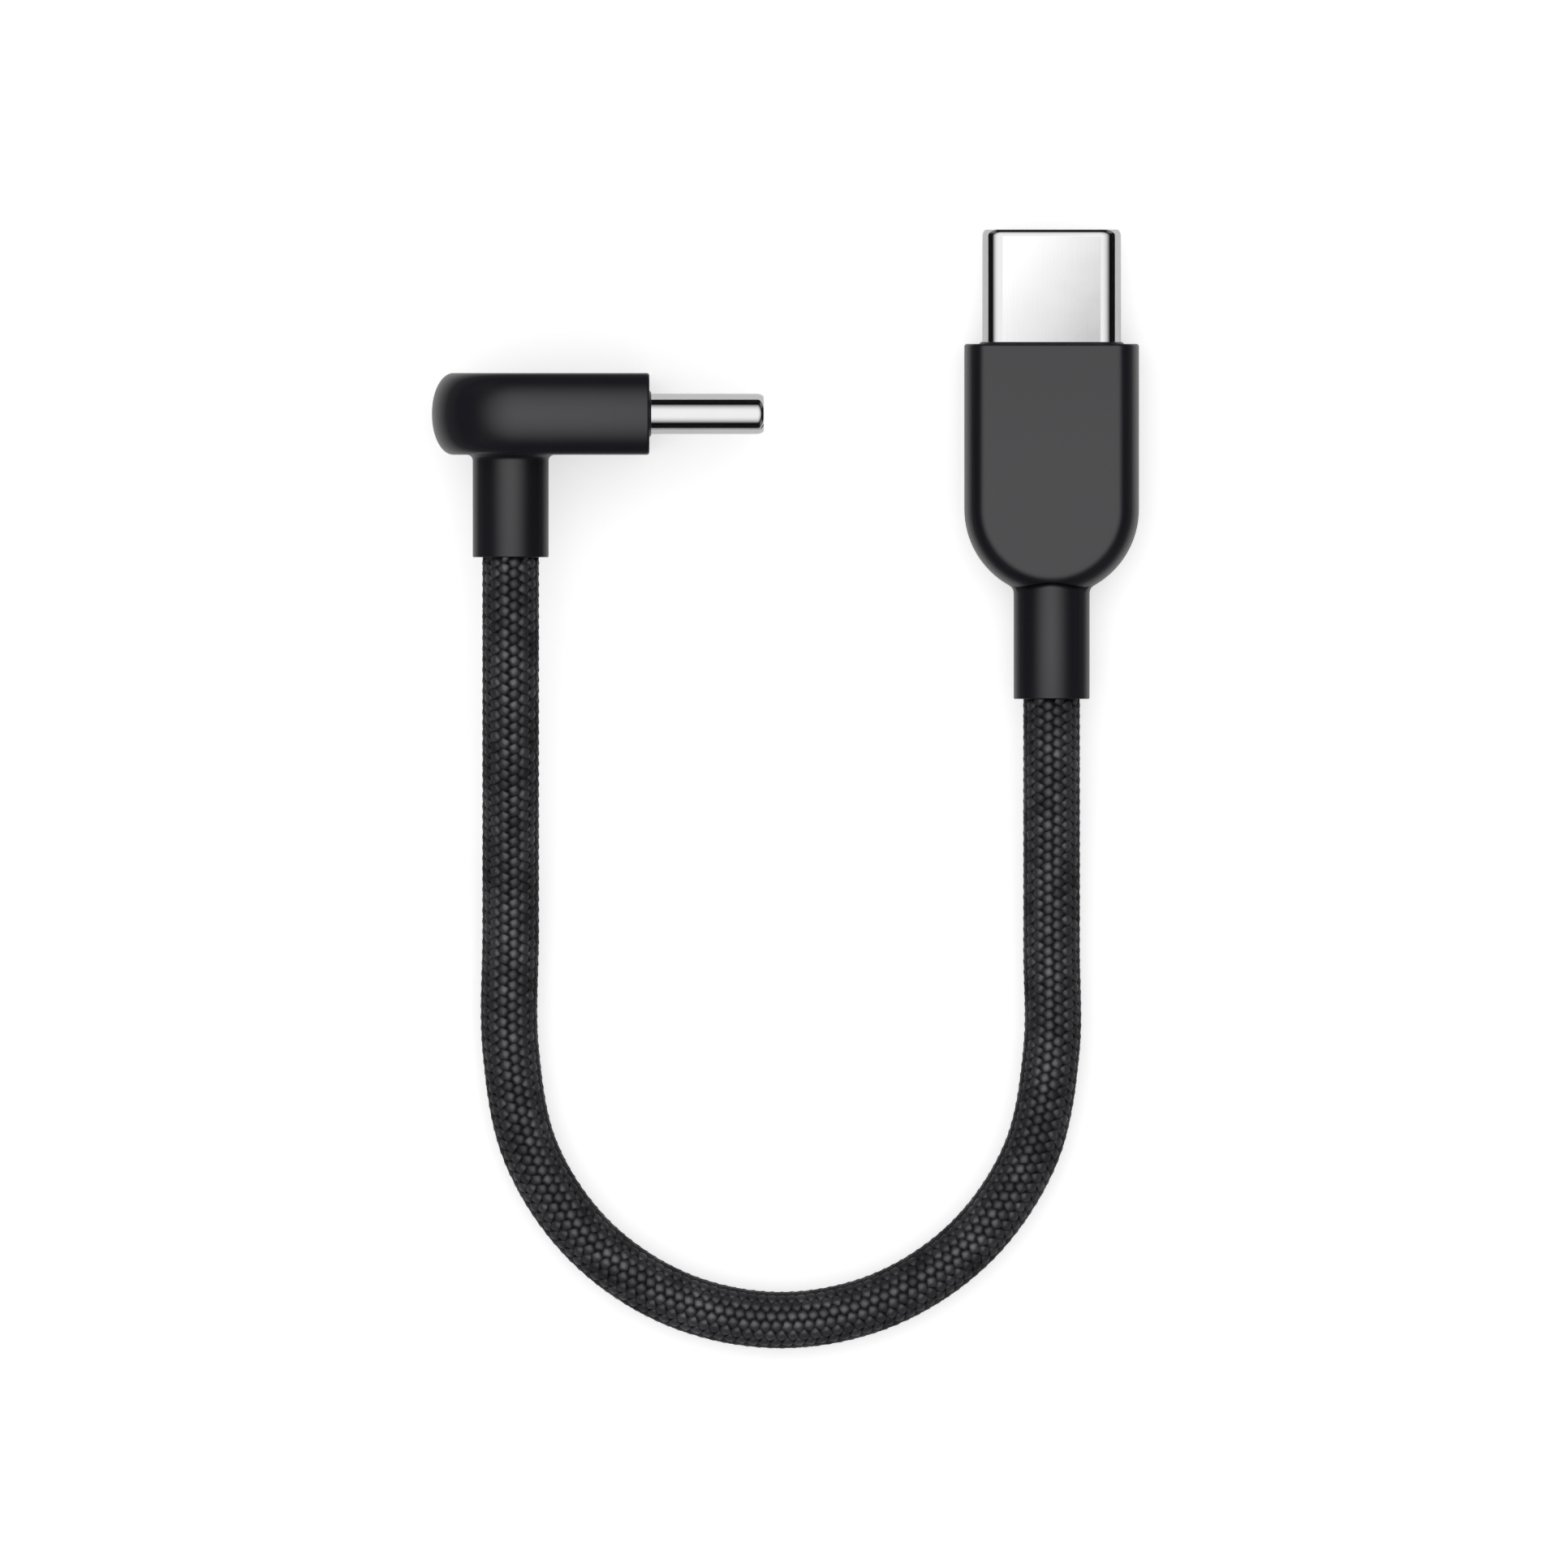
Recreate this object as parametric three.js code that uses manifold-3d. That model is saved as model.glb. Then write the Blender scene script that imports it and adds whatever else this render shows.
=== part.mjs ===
// A short charging cable: a right-angle plug and a straight plug on the two ends of one braided cord.
// Millimetres, +Z up, z = 0 is the table. The origin lies at the middle of the two plugs' common box.
// The angled plug stands on its long edge at -X with its shell towards +X. The straight plug lies flat
// at +X with its shell towards +Y. The cord makes a U between them, towards -Y.
//
// Each plug is built in a frame of its own: the origin is the middle of the body's front face, +Y is
// the way the plug goes into its socket, X is across the shell and Z is through its thickness.

import * as THREE from 'three';
import { mergeVertices } from 'three/addons/utils/BufferGeometryUtils.js';
import Module from 'manifold-3d';

const wasm = await Module();
wasm.setup();

// ---------------------------------------------------------------- driving dimensions

// Clearances between pieces that are held by one another.
const FIT_GAP = 0.05;
const CUT_MARGIN = 1;

// Connector shell, of the common reversible kind with 24 contact places.
const SHELL_WIDTH = 8.25;
const SHELL_THICKNESS = 2.4;
const SHELL_WALL = 0.2;
const SHELL_REACH = 6.8;
const SHELL_TAIL = 3.4;
const SHELL_LIP = 0.15;

// Contact housing inside the shell, with the slot that takes the socket's tongue.
const HOUSING_SETBACK = 0.3;
const HOUSING_TAIL = 2.95;
const SLOT_SIDE_WALL = 0.475;
const SLOT_HEIGHT = 0.84;
const SLOT_FLOOR = 0.4;

// Spring contacts.
const CONTACT_PITCH = 0.5;
const CONTACT_PLACES = 12;
const CONTACT_WIDTH = 0.25;
const CONTACT_THICKNESS = 0.15;
const CONTACT_HUMP_GAP = 0.5;
const CONTACT_TIP_BACK = 1;
const CONTACT_HUMP_RUN = 0.55;
const CONTACT_TAIL = 4.2;
const CHANNEL_WIDTH = 0.35;
const CHANNEL_DEPTH = 0.3;
const CHANNEL_UNDERCUT = 0.06;
const CHANNEL_FRONT_WALL = 0.35;

// Middle plate between the rows of contacts.
const MID_PLATE_WIDTH = 5.5;
const MID_PLATE_THICKNESS = 0.15;
const MID_PLATE_FRONT = 0.1;

// Side latch springs.
const LATCH_THICKNESS = 0.15;
const LATCH_HEIGHT = 0.5;
const LATCH_REACH = 4.8;
const LATCH_HOOK = 0.35;
const LATCH_HOOK_BACK = 0.8;
const LATCH_HOOK_LENGTH = 0.5;
const LATCH_TAIL = 4;
const LATCH_CHANNEL_FRONT = 5.2;
const LATCH_CHANNEL_GAP = 0.07;

// Circuit board and its capacitor.
const BOARD_THICKNESS = 0.5;
const BOARD_FRONT = 3.1;
const BOARD_BACK_GAP = 0.25;
const CAPACITOR_SIZE = [1, 0.5, 0.5];
const CAPACITOR_PLACE = [1.6, -5.6];

// Rear shield: the metal case over the board and the tail of the shell.
const SHIELD_WALL = 0.15;
const SHIELD_FRONT = 2.4;
const SHIELD_CABLE_HOLE_RADIUS = 1.1;

// Moulded bodies. In section each long side is half an ellipse with a narrow flat band at its middle.
const BODY_SIDE_WALL = 0.825;
const BODY_RELIEF_WALL = 0.175;
const BODY_CROWN = 1.28;
const BODY_BAND = 0.1;
const STRAIGHT_BODY_LENGTH = 15.04;
const STRAIGHT_RELIEF_HOLD = 4.64;
const ANGLED_CORD_BACK = 8.26;
const ANGLED_BACK_END = 4.69;
const ANGLED_SHIELD_END = 0.18;

// Cord, braid to wires. A layer's size is that of its eight corners.
const CORD_SIDES = 8;
const WIRE_SIDES = 6;
const CORD_DIAMETER = 3.3;
const SLEEVE_WALL = 0.23;
const JACKET_WALL = 0.26;
const CORD_SHIELD_WALL = 0.08;
const LAYER_GAP = 0.04;
const WIRE_RADIUS = 0.2;
const CORD_STEP_DIAMETERS = 2;
const JACKET_START = 0.1;

// The wires' places in the cord's section: height, then across.
const WIRE_PLACES = {
  power_wire: [-0.48, 0.25],
  ground_wire: [-0.48, -0.25],
  data_plus_wire: [0.48, 0.45],
  config_wire: [0.48, 0],
  data_minus_wire: [0.48, -0.45],
};

// Crimp ferrule and strain relief, along the cord from the rear shield's outer wall.
const FERRULE_START = 0.05;
const FERRULE_LENGTH = 1.95;
const FERRULE_WALL = 0.19;
const CORD_BORE_GAP = 0.09;
const RELIEF_START = 0.15;
const RELIEF_WALL = 0.55;
const RELIEF_LENGTH = 6.1;
const RELIEF_FLANGE = 0.4;
const RELIEF_FLANGE_STEP = 0.25;
const RELIEF_NECK_WALL = 0.24;
const RELIEF_FILLET = 0.35;
const RELIEF_SINK = 1.14;

// Where the plugs lie, and how far the wires reach into them.
const ANGLED_FACE_X = -8.11;
const ANGLED_AXIS_Y = 2.98;
const STRAIGHT_FACE_Y = 7.15;
const STRAIGHT_AXIS_X = 15.83;
const ANGLED_WIRE_REACH = 1.1;
const STRAIGHT_WIRE_REACH = 1.4;

// The cord's middle line, from 0.3 mm off one relief to 0.3 mm off the other: it comes down to the
// table from the angled plug, goes round a half circle of 16.1 mm radius, and rises a little to the
// straight plug.
const CORD_POINTS = [
  [-16.37, -5.84, 5.2],
  [-16.37, -9.0, 5.2],
  [-16.37, -13.0, 4.9],
  [-16.37, -18.0, 3.9],
  [-16.37, -23.0, 2.75],
  [-16.37, -28.0, 1.95],
  [-16.37, -34.86, 1.67],
  [-15.15, -41.02, 1.67],
  [-11.66, -46.24, 1.67],
  [-6.44, -49.73, 1.67],
  [-0.28, -50.96, 1.67],
  [5.88, -49.73, 1.67],
  [11.1, -46.24, 1.67],
  [14.59, -41.02, 1.67],
  [15.82, -34.86, 1.67],
  [15.83, -29.0, 1.7],
  [15.83, -24.0, 1.95],
  [15.83, -19.0, 2.37],
  [15.83, -14.29, 2.435],
];

// Fineness of the round shapes.
const ARC_STEPS = 8;
const BODY_ARC_STEPS = 24;
const BODY_CROWN_STEPS = 7;
const ROUND_STEPS = 24;
const FILLET_STEPS = 3;
const LIP_STEPS = 2;

// The contacts a charging cable carries, by their place from one end of the row.
const UPPER_CONTACTS = {
  ground_1: 1,
  power_1: 4,
  config: 5,
  data_plus: 6,
  data_minus: 7,
  power_2: 9,
  ground_2: 12,
};
const LOWER_CONTACTS = {
  ground_1: 1,
  power_1: 4,
  connector_power: 5,
  power_2: 9,
  ground_2: 12,
};

// ---------------------------------------------------------------- materials

const metal = (color, roughness) => new THREE.MeshStandardMaterial({ color, roughness, metalness: 1 });
const plastic = (color, roughness) => new THREE.MeshStandardMaterial({ color, roughness, metalness: 0 });

const MATERIALS = {
  nickel: () => metal(0xd8d8da, 0.12),
  gold: () => metal(0xd9a441, 0.25),
  spring: () => metal(0xb8b8ba, 0.3),
  tin: () => metal(0xa9abad, 0.4),
  housing: () => plastic(0x161617, 0.5),
  moulding: () => plastic(0x242426, 0.5),
  board: () => plastic(0x14502c, 0.4),
  ceramic: () => plastic(0xa58a66, 0.5),
  braid: () => plastic(0x232325, 0.7),
  jacket: () => plastic(0x1c1c1e, 0.5),
  power: () => plastic(0xa81c1c, 0.45),
  ground: () => plastic(0x1a1a1a, 0.45),
  dataPlus: () => plastic(0x2a7a3a, 0.45),
  dataMinus: () => plastic(0xe6e6e6, 0.45),
  config: () => plastic(0x2a4ea8, 0.45),
};

// ---------------------------------------------------------------- shapes and solids

const X_AXIS = new THREE.Vector3(1, 0, 0);
const Y_AXIS = new THREE.Vector3(0, 1, 0);
const Z_AXIS = new THREE.Vector3(0, 0, 1);

function piece(name, geometry, material) {
  const mesh = new THREE.Mesh(geometry, material());
  mesh.name = name;
  return mesh;
}

// A closed geometry with its shared corners merged, as a solid that can be cut.
function solid(geometry) {
  const bare = geometry.clone();
  bare.deleteAttribute('normal');
  bare.deleteAttribute('uv');
  const merged = mergeVertices(bare);
  return new wasm.Manifold(
    new wasm.Mesh({
      numProp: 3,
      vertProperties: new Float32Array(merged.attributes.position.array),
      triVerts: new Uint32Array(merged.index.array),
    }),
  );
}

function geometryOf(manifold) {
  const mesh = manifold.getMesh();
  const geometry = new THREE.BufferGeometry();
  geometry.setAttribute('position', new THREE.BufferAttribute(mesh.vertProperties, 3));
  geometry.setIndex(new THREE.BufferAttribute(mesh.triVerts, 1));
  geometry.computeVertexNormals();
  return geometry;
}

function cut(whole, ...tools) {
  return tools.reduce((left, tool) => left.subtract(solid(tool)), solid(whole));
}

// A box between two limits on each axis.
function block([x0, x1], [y0, y1], [z0, z1]) {
  const geometry = new THREE.BoxGeometry(x1 - x0, y1 - y0, z1 - z0);
  geometry.translate((x0 + x1) / 2, (y0 + y1) / 2, (z0 + z1) / 2);
  return geometry;
}

// The outline of the shell and of what goes round or into it: two straight sides and two half circles.
function stadium(width, thickness) {
  const radius = thickness / 2;
  const straight = width / 2 - radius;
  const shape = new THREE.Shape();
  shape.moveTo(-straight, -radius);
  shape.lineTo(straight, -radius);
  shape.absarc(straight, 0, radius, -Math.PI / 2, Math.PI / 2, false);
  shape.lineTo(-straight, radius);
  shape.absarc(-straight, 0, radius, Math.PI / 2, (3 * Math.PI) / 2, false);
  return shape;
}

// A shape drawn across X and Z, drawn out along Y from its front to its back, with rounded rims.
function drawnBack(shape, front, back, rim = 0) {
  const geometry = new THREE.ExtrudeGeometry(shape, {
    depth: front - back - 2 * rim,
    curveSegments: ARC_STEPS,
    bevelEnabled: rim > 0,
    bevelThickness: rim,
    bevelSize: rim,
    bevelOffset: -rim,
    bevelSegments: LIP_STEPS,
  });
  geometry.rotateX(Math.PI / 2);
  geometry.translate(0, front - rim, 0);
  return geometry;
}

// A strip's side view, as pairs of distance forward and distance out, given its width along an axis.
function strip(points, width, out, across) {
  const shape = new THREE.Shape(points.map(([along, away]) => new THREE.Vector2(along, away)));
  const geometry = new THREE.ExtrudeGeometry(shape, { depth: width, bevelEnabled: false });
  geometry.translate(0, 0, -width / 2);
  geometry.applyMatrix4(new THREE.Matrix4().makeBasis(Y_AXIS, out, across));
  return geometry;
}

// A closed profile of radius and distance along the cord, turned about the cord's axis.
function turned(profile) {
  const points = profile.map(([radius, along]) => new THREE.Vector2(radius, along));
  return new THREE.LatheGeometry([...points, points[0].clone()], ROUND_STEPS);
}

// ---------------------------------------------------------------- sizes that follow

const housingFront = SHELL_REACH - HOUSING_SETBACK;
const housingWidth = SHELL_WIDTH - 2 * SHELL_WALL - 2 * FIT_GAP;
const housingThickness = SHELL_THICKNESS - 2 * SHELL_WALL - 2 * FIT_GAP;
const slotWidth = housingWidth - 2 * SLOT_SIDE_WALL;
const slotHalf = SLOT_HEIGHT / 2;
const boardWidth = slotWidth - 2 * FIT_GAP;

const sleeveRadii = [CORD_DIAMETER / 2, CORD_DIAMETER / 2 - SLEEVE_WALL];
const jacketRadii = [sleeveRadii[1] - LAYER_GAP, sleeveRadii[1] - LAYER_GAP - JACKET_WALL];
const cordShieldRadii = [jacketRadii[1] - LAYER_GAP, jacketRadii[1] - LAYER_GAP - CORD_SHIELD_WALL];

const cordBore = jacketRadii[0] + CORD_BORE_GAP;
const ferruleOuter = cordBore + FERRULE_WALL;
const ferruleSeat = ferruleOuter + FIT_GAP;
const reliefRadius = ferruleSeat + RELIEF_WALL;
const reliefNeck = ferruleSeat + RELIEF_NECK_WALL;
const reliefFlange = reliefNeck + RELIEF_FLANGE_STEP;
const flangeEnd = RELIEF_START + RELIEF_FLANGE;

const shieldInside = [SHELL_WIDTH + 2 * FIT_GAP, SHELL_THICKNESS + 2 * FIT_GAP];
const shieldOutside = shieldInside.map((size) => size + 2 * SHIELD_WALL);
const shieldSeat = shieldOutside.map((size) => size + 2 * FIT_GAP);
const shieldHalf = shieldOutside[1] / 2;
const bodyWidth = shieldSeat[0] + 2 * BODY_SIDE_WALL;
const bodyThickness = 2 * (reliefRadius + BODY_RELIEF_WALL);
const straightShieldBack = STRAIGHT_BODY_LENGTH - STRAIGHT_RELIEF_HOLD;
const angledShieldBack = ANGLED_CORD_BACK + ferruleOuter + ANGLED_SHIELD_END;
const angledBodyLength = ANGLED_CORD_BACK + ANGLED_BACK_END;
const angledSurface = bodyThickness / 2 - shieldHalf;

// ---------------------------------------------------------------- pieces of a plug

function makeShell() {
  const outer = stadium(SHELL_WIDTH, SHELL_THICKNESS);
  const inner = stadium(SHELL_WIDTH - 2 * SHELL_WALL, SHELL_THICKNESS - 2 * SHELL_WALL);
  return geometryOf(
    cut(
      drawnBack(outer, SHELL_REACH, -SHELL_TAIL, SHELL_LIP),
      drawnBack(inner, SHELL_REACH + CUT_MARGIN, -SHELL_TAIL - CUT_MARGIN),
    ),
  );
}

// The middle of a contact, across the row, from its place in it.
function contactPlace(place) {
  return (place - (CONTACT_PLACES + 1) / 2) * CONTACT_PITCH;
}

function contactChannel(x, side) {
  const shallow = slotHalf - CHANNEL_UNDERCUT;
  const deep = slotHalf + CHANNEL_DEPTH;
  const heights = side > 0 ? [shallow, deep] : [-deep, -shallow];
  return block(
    [x - CHANNEL_WIDTH / 2, x + CHANNEL_WIDTH / 2],
    [-HOUSING_TAIL - CUT_MARGIN, housingFront - CHANNEL_FRONT_WALL],
    heights,
  );
}

// The side channel of a latch is open outwards, to the inside of the shell.
function latchChannel(side) {
  const inside = slotWidth / 2 - FIT_GAP;
  const outside = SHELL_WIDTH / 2;
  const half = LATCH_HEIGHT / 2 + LATCH_CHANNEL_GAP;
  return block(
    side > 0 ? [inside, outside] : [-outside, -inside],
    [-HOUSING_TAIL - CUT_MARGIN, LATCH_CHANNEL_FRONT],
    [-half, half],
  );
}

function makeHousing() {
  const whole = drawnBack(stadium(housingWidth, housingThickness), housingFront, -HOUSING_TAIL);
  const tongueSlot = block(
    [-slotWidth / 2, slotWidth / 2],
    [SLOT_FLOOR, housingFront + CUT_MARGIN],
    [-slotHalf, slotHalf],
  );
  const plateHalf = MID_PLATE_THICKNESS / 2 + FIT_GAP;
  const plateSlot = block(
    [-MID_PLATE_WIDTH / 2 - FIT_GAP, MID_PLATE_WIDTH / 2 + FIT_GAP],
    [-HOUSING_TAIL - CUT_MARGIN, MID_PLATE_FRONT + FIT_GAP],
    [-plateHalf, plateHalf],
  );
  const upper = Object.values(UPPER_CONTACTS).map((place) => contactChannel(contactPlace(place), 1));
  const lower = Object.values(LOWER_CONTACTS).map((place) => contactChannel(-contactPlace(place), -1));
  const latches = [latchChannel(1), latchChannel(-1)];
  return geometryOf(cut(whole, tongueSlot, plateSlot, ...upper, ...lower, ...latches));
}

// One spring contact: a tail on the board, a beam in its channel and a hump that meets the tongue.
function makeContact(x, side) {
  const tip = housingFront - CONTACT_TIP_BACK;
  const hump = tip - CONTACT_HUMP_RUN;
  const foot = hump - CONTACT_HUMP_RUN;
  const inner = slotHalf;
  const outer = inner + CONTACT_THICKNESS;
  const apex = CONTACT_HUMP_GAP / 2;
  const step = HOUSING_TAIL + 2 * FIT_GAP;
  const pad = BOARD_THICKNESS / 2 + FIT_GAP;
  const profile = [
    [-CONTACT_TAIL, pad],
    [-step - CONTACT_THICKNESS, pad],
    [-step, inner],
    [foot, inner],
    [hump, apex],
    [tip, inner],
    [tip, outer],
    [hump, apex + CONTACT_THICKNESS],
    [foot, outer],
    [-step - CONTACT_THICKNESS, outer],
    [-step - 2 * CONTACT_THICKNESS, pad + CONTACT_THICKNESS],
    [-CONTACT_TAIL, pad + CONTACT_THICKNESS],
  ];
  const out = Z_AXIS.clone().multiplyScalar(side);
  const across = X_AXIS.clone().multiplyScalar(side);
  const geometry = strip(profile, CONTACT_WIDTH, out, across);
  geometry.translate(x, 0, 0);
  return geometry;
}

function makeMidPlate() {
  return block(
    [-MID_PLATE_WIDTH / 2, MID_PLATE_WIDTH / 2],
    [-HOUSING_TAIL, MID_PLATE_FRONT],
    [-MID_PLATE_THICKNESS / 2, MID_PLATE_THICKNESS / 2],
  );
}

// One side latch: a flat arm beside the slot whose hook snaps into the notch of the tongue.
function makeLatch(side) {
  const inner = slotWidth / 2 + FIT_GAP;
  const outer = inner + LATCH_THICKNESS;
  const hookFront = LATCH_REACH - LATCH_HOOK_BACK + LATCH_HOOK_LENGTH / 2;
  const hookBack = hookFront - LATCH_HOOK_LENGTH;
  const profile = [
    [-LATCH_TAIL, inner],
    [hookBack - LATCH_HOOK, inner],
    [hookBack, inner - LATCH_HOOK],
    [hookFront, inner - LATCH_HOOK],
    [LATCH_REACH, inner],
    [LATCH_REACH, outer],
    [-LATCH_TAIL, outer],
  ];
  const out = X_AXIS.clone().multiplyScalar(side);
  const across = Z_AXIS.clone().multiplyScalar(-side);
  return strip(profile, LATCH_HEIGHT, out, across);
}

function makeBoard(shieldBack) {
  const back = shieldBack - SHIELD_WALL - BOARD_BACK_GAP;
  return block(
    [-boardWidth / 2, boardWidth / 2],
    [-back, -BOARD_FRONT],
    [-BOARD_THICKNESS / 2, BOARD_THICKNESS / 2],
  );
}

function makeCapacitor() {
  const geometry = new THREE.BoxGeometry(...CAPACITOR_SIZE);
  const height = BOARD_THICKNESS / 2 + FIT_GAP + CAPACITOR_SIZE[2] / 2;
  geometry.translate(...CAPACITOR_PLACE, height);
  return geometry;
}

// The rear shield is open in front, where the shell's tail goes in, and has one hole for the cord.
function makeRearShield(back, exit) {
  const whole = drawnBack(stadium(...shieldOutside), -SHIELD_FRONT, -back);
  const hollow = drawnBack(stadium(...shieldInside), -SHIELD_FRONT + CUT_MARGIN, -back + SHIELD_WALL);
  const hole = turned([
    [0, -2 * SHIELD_WALL],
    [SHIELD_CABLE_HOLE_RADIUS, -2 * SHIELD_WALL],
    [SHIELD_CABLE_HOLE_RADIUS, CUT_MARGIN],
    [0, CUT_MARGIN],
  ]);
  hole.applyMatrix4(exit);
  return geometryOf(cut(whole, hollow, hole));
}

// The body's plan: straight sides and a half-round back. Its front runs on past the front face.
function bodyPlan(length) {
  const half = bodyWidth / 2;
  const centre = -(length - half);
  const front = 2 * BODY_CROWN;
  const shape = new THREE.Shape();
  shape.moveTo(-half, front);
  shape.lineTo(-half, centre);
  shape.absarc(0, centre, half, Math.PI, 2 * Math.PI, false);
  shape.lineTo(half, front);
  return shape;
}

function makeBody(length, shieldBack, exit, seat, isSunk) {
  const whole = new THREE.ExtrudeGeometry(bodyPlan(length), {
    depth: BODY_BAND,
    curveSegments: BODY_ARC_STEPS,
    bevelThickness: (bodyThickness - BODY_BAND) / 2,
    bevelSize: BODY_CROWN,
    bevelOffset: -BODY_CROWN,
    bevelSegments: BODY_CROWN_STEPS,
  });
  whole.translate(0, 0, -BODY_BAND / 2);
  const ahead = block([-bodyWidth, bodyWidth], [0, bodyWidth], [-bodyThickness, bodyThickness]);
  const reliefSeat = turned(reliefSeatProfile(seat, isSunk));
  reliefSeat.applyMatrix4(exit);
  return geometryOf(
    cut(
      whole,
      ahead,
      drawnBack(stadium(...shieldInside), CUT_MARGIN, -SHIELD_FRONT),
      drawnBack(stadium(...shieldSeat), -SHIELD_FRONT + FIT_GAP, -shieldBack - FIT_GAP),
      reliefSeat,
    ),
  );
}

// ---------------------------------------------------------------- where the cord leaves a plug

function makeFerrule() {
  return turned([
    [cordBore, FERRULE_START],
    [ferruleOuter, FERRULE_START],
    [ferruleOuter, FERRULE_START + FERRULE_LENGTH],
    [cordBore, FERRULE_START + FERRULE_LENGTH],
  ]);
}

// The hollow in the body that holds the relief's flange and neck, and its full width if it is sunk.
function reliefSeatProfile(seat, isSunk) {
  const flange = reliefFlange + FIT_GAP;
  const neck = reliefNeck + FIT_GAP;
  const full = reliefRadius + FIT_GAP;
  const shoulder = flangeEnd + FIT_GAP;
  const end = seat + RELIEF_LENGTH;
  const steps = [
    [0, -FIT_GAP],
    [flange, -FIT_GAP],
    [flange, shoulder],
    [neck, shoulder],
  ];
  if (isSunk) {
    steps.push([neck, seat - FIT_GAP], [full, seat - FIT_GAP], [full, end]);
  } else {
    steps.push([neck, end]);
  }
  return [...steps, [0, end]];
}

// The strain relief: a flange and neck held in the body, then the plain round sleeve that shows.
function makeRelief(seat, end, fillet) {
  const ferruleRoom = FERRULE_START + FERRULE_LENGTH + FIT_GAP;
  const profile = [
    [ferruleSeat, RELIEF_START],
    [reliefFlange, RELIEF_START],
    [reliefFlange, flangeEnd],
    [reliefNeck, flangeEnd],
    [reliefNeck, seat],
  ];
  if (fillet > 0) {
    for (let step = 0; step <= FILLET_STEPS; step += 1) {
      const turn = (step / FILLET_STEPS) * (Math.PI / 2);
      const out = reliefRadius + fillet * (1 - Math.sin(turn));
      profile.push([out, seat + fillet * (1 - Math.cos(turn))]);
    }
  } else {
    profile.push([reliefRadius, seat]);
  }
  profile.push([reliefRadius, end], [cordBore, end]);
  profile.push([cordBore, ferruleRoom], [ferruleSeat, ferruleRoom]);
  return turned(profile);
}

// ---------------------------------------------------------------- the two plugs

// name, body length, back of the rear shield, the frame in which the cord leaves (its +Y points out
// along the cord, from the shield's outer wall), the distance along it to the seat of the relief and
// to the relief's end, whether the relief is sunk into a rounded end, and the fillet at its root.
function makePlug(plug) {
  const group = new THREE.Group();
  const exit = new THREE.Group();
  exit.position.copy(plug.exitPlace);
  exit.rotation.x = plug.exitTurn;
  exit.updateMatrix();
  const add = (name, geometry, material) => {
    group.add(piece(`${plug.name}_${name}`, geometry, material));
  };

  add('shell', makeShell(), MATERIALS.nickel);
  add('contact_housing', makeHousing(), MATERIALS.housing);
  for (const [signal, place] of Object.entries(UPPER_CONTACTS)) {
    add(`upper_contact_${signal}`, makeContact(contactPlace(place), 1), MATERIALS.gold);
  }
  for (const [signal, place] of Object.entries(LOWER_CONTACTS)) {
    add(`lower_contact_${signal}`, makeContact(-contactPlace(place), -1), MATERIALS.gold);
  }
  add('mid_plate', makeMidPlate(), MATERIALS.spring);
  add('latch_right', makeLatch(1), MATERIALS.spring);
  add('latch_left', makeLatch(-1), MATERIALS.spring);
  add('circuit_board', makeBoard(plug.shieldBack), MATERIALS.board);
  add('bypass_capacitor', makeCapacitor(), MATERIALS.ceramic);
  add('rear_shield', makeRearShield(plug.shieldBack, exit.matrix), MATERIALS.tin);
  add(
    'body',
    makeBody(plug.bodyLength, plug.shieldBack, exit.matrix, plug.reliefSeat, plug.reliefSunk),
    MATERIALS.moulding,
  );
  exit.add(piece(`${plug.name}_crimp_ferrule`, makeFerrule(), MATERIALS.tin));
  exit.add(
    piece(
      `${plug.name}_strain_relief`,
      makeRelief(plug.reliefSeat, plug.reliefEnd, plug.reliefFillet),
      MATERIALS.moulding,
    ),
  );
  group.add(exit);
  return { group, exit };
}

const straight = makePlug({
  name: 'straight',
  bodyLength: STRAIGHT_BODY_LENGTH,
  shieldBack: straightShieldBack,
  exitPlace: new THREE.Vector3(0, -straightShieldBack, 0),
  exitTurn: Math.PI,
  reliefSeat: STRAIGHT_RELIEF_HOLD - RELIEF_SINK,
  reliefEnd: STRAIGHT_RELIEF_HOLD + RELIEF_LENGTH,
  reliefSunk: true,
  reliefFillet: 0,
});
straight.group.position.set(STRAIGHT_AXIS_X, STRAIGHT_FACE_Y, bodyThickness / 2);

const angled = makePlug({
  name: 'angled',
  bodyLength: angledBodyLength,
  shieldBack: angledShieldBack,
  exitPlace: new THREE.Vector3(0, -ANGLED_CORD_BACK, -shieldHalf),
  exitTurn: -Math.PI / 2,
  reliefSeat: angledSurface + FIT_GAP,
  reliefEnd: angledSurface + RELIEF_LENGTH,
  reliefSunk: false,
  reliefFillet: RELIEF_FILLET,
});
// The angled plug stands on its edge: its width is upright and its thickness lies along Y.
const angledTurn = new THREE.Matrix4().makeBasis(Z_AXIS, X_AXIS, Y_AXIS);
angled.group.quaternion.setFromRotationMatrix(angledTurn);
angled.group.position.set(ANGLED_FACE_X, ANGLED_AXIS_Y, bodyWidth / 2);

// ---------------------------------------------------------------- the cord

// A stretch of the cord's middle line that is already divided into its steps, with upright sections.
class CordStretch extends THREE.Curve {
  constructor(stations) {
    super();
    this.stations = stations;
  }

  getSpacedPoints() {
    return this.stations;
  }

  computeFrenetFrames() {
    const last = this.stations.length - 1;
    const tangents = this.stations.map((_, i) => {
      const ahead = this.stations[Math.min(i + 1, last)];
      const behind = this.stations[Math.max(i - 1, 0)];
      return ahead.clone().sub(behind).normalize();
    });
    const binormals = tangents.map((tangent) => Z_AXIS.clone().cross(tangent).normalize());
    const normals = tangents.map((tangent, i) => binormals[i].clone().cross(tangent).normalize());
    return { tangents, normals, binormals };
  }
}

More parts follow.
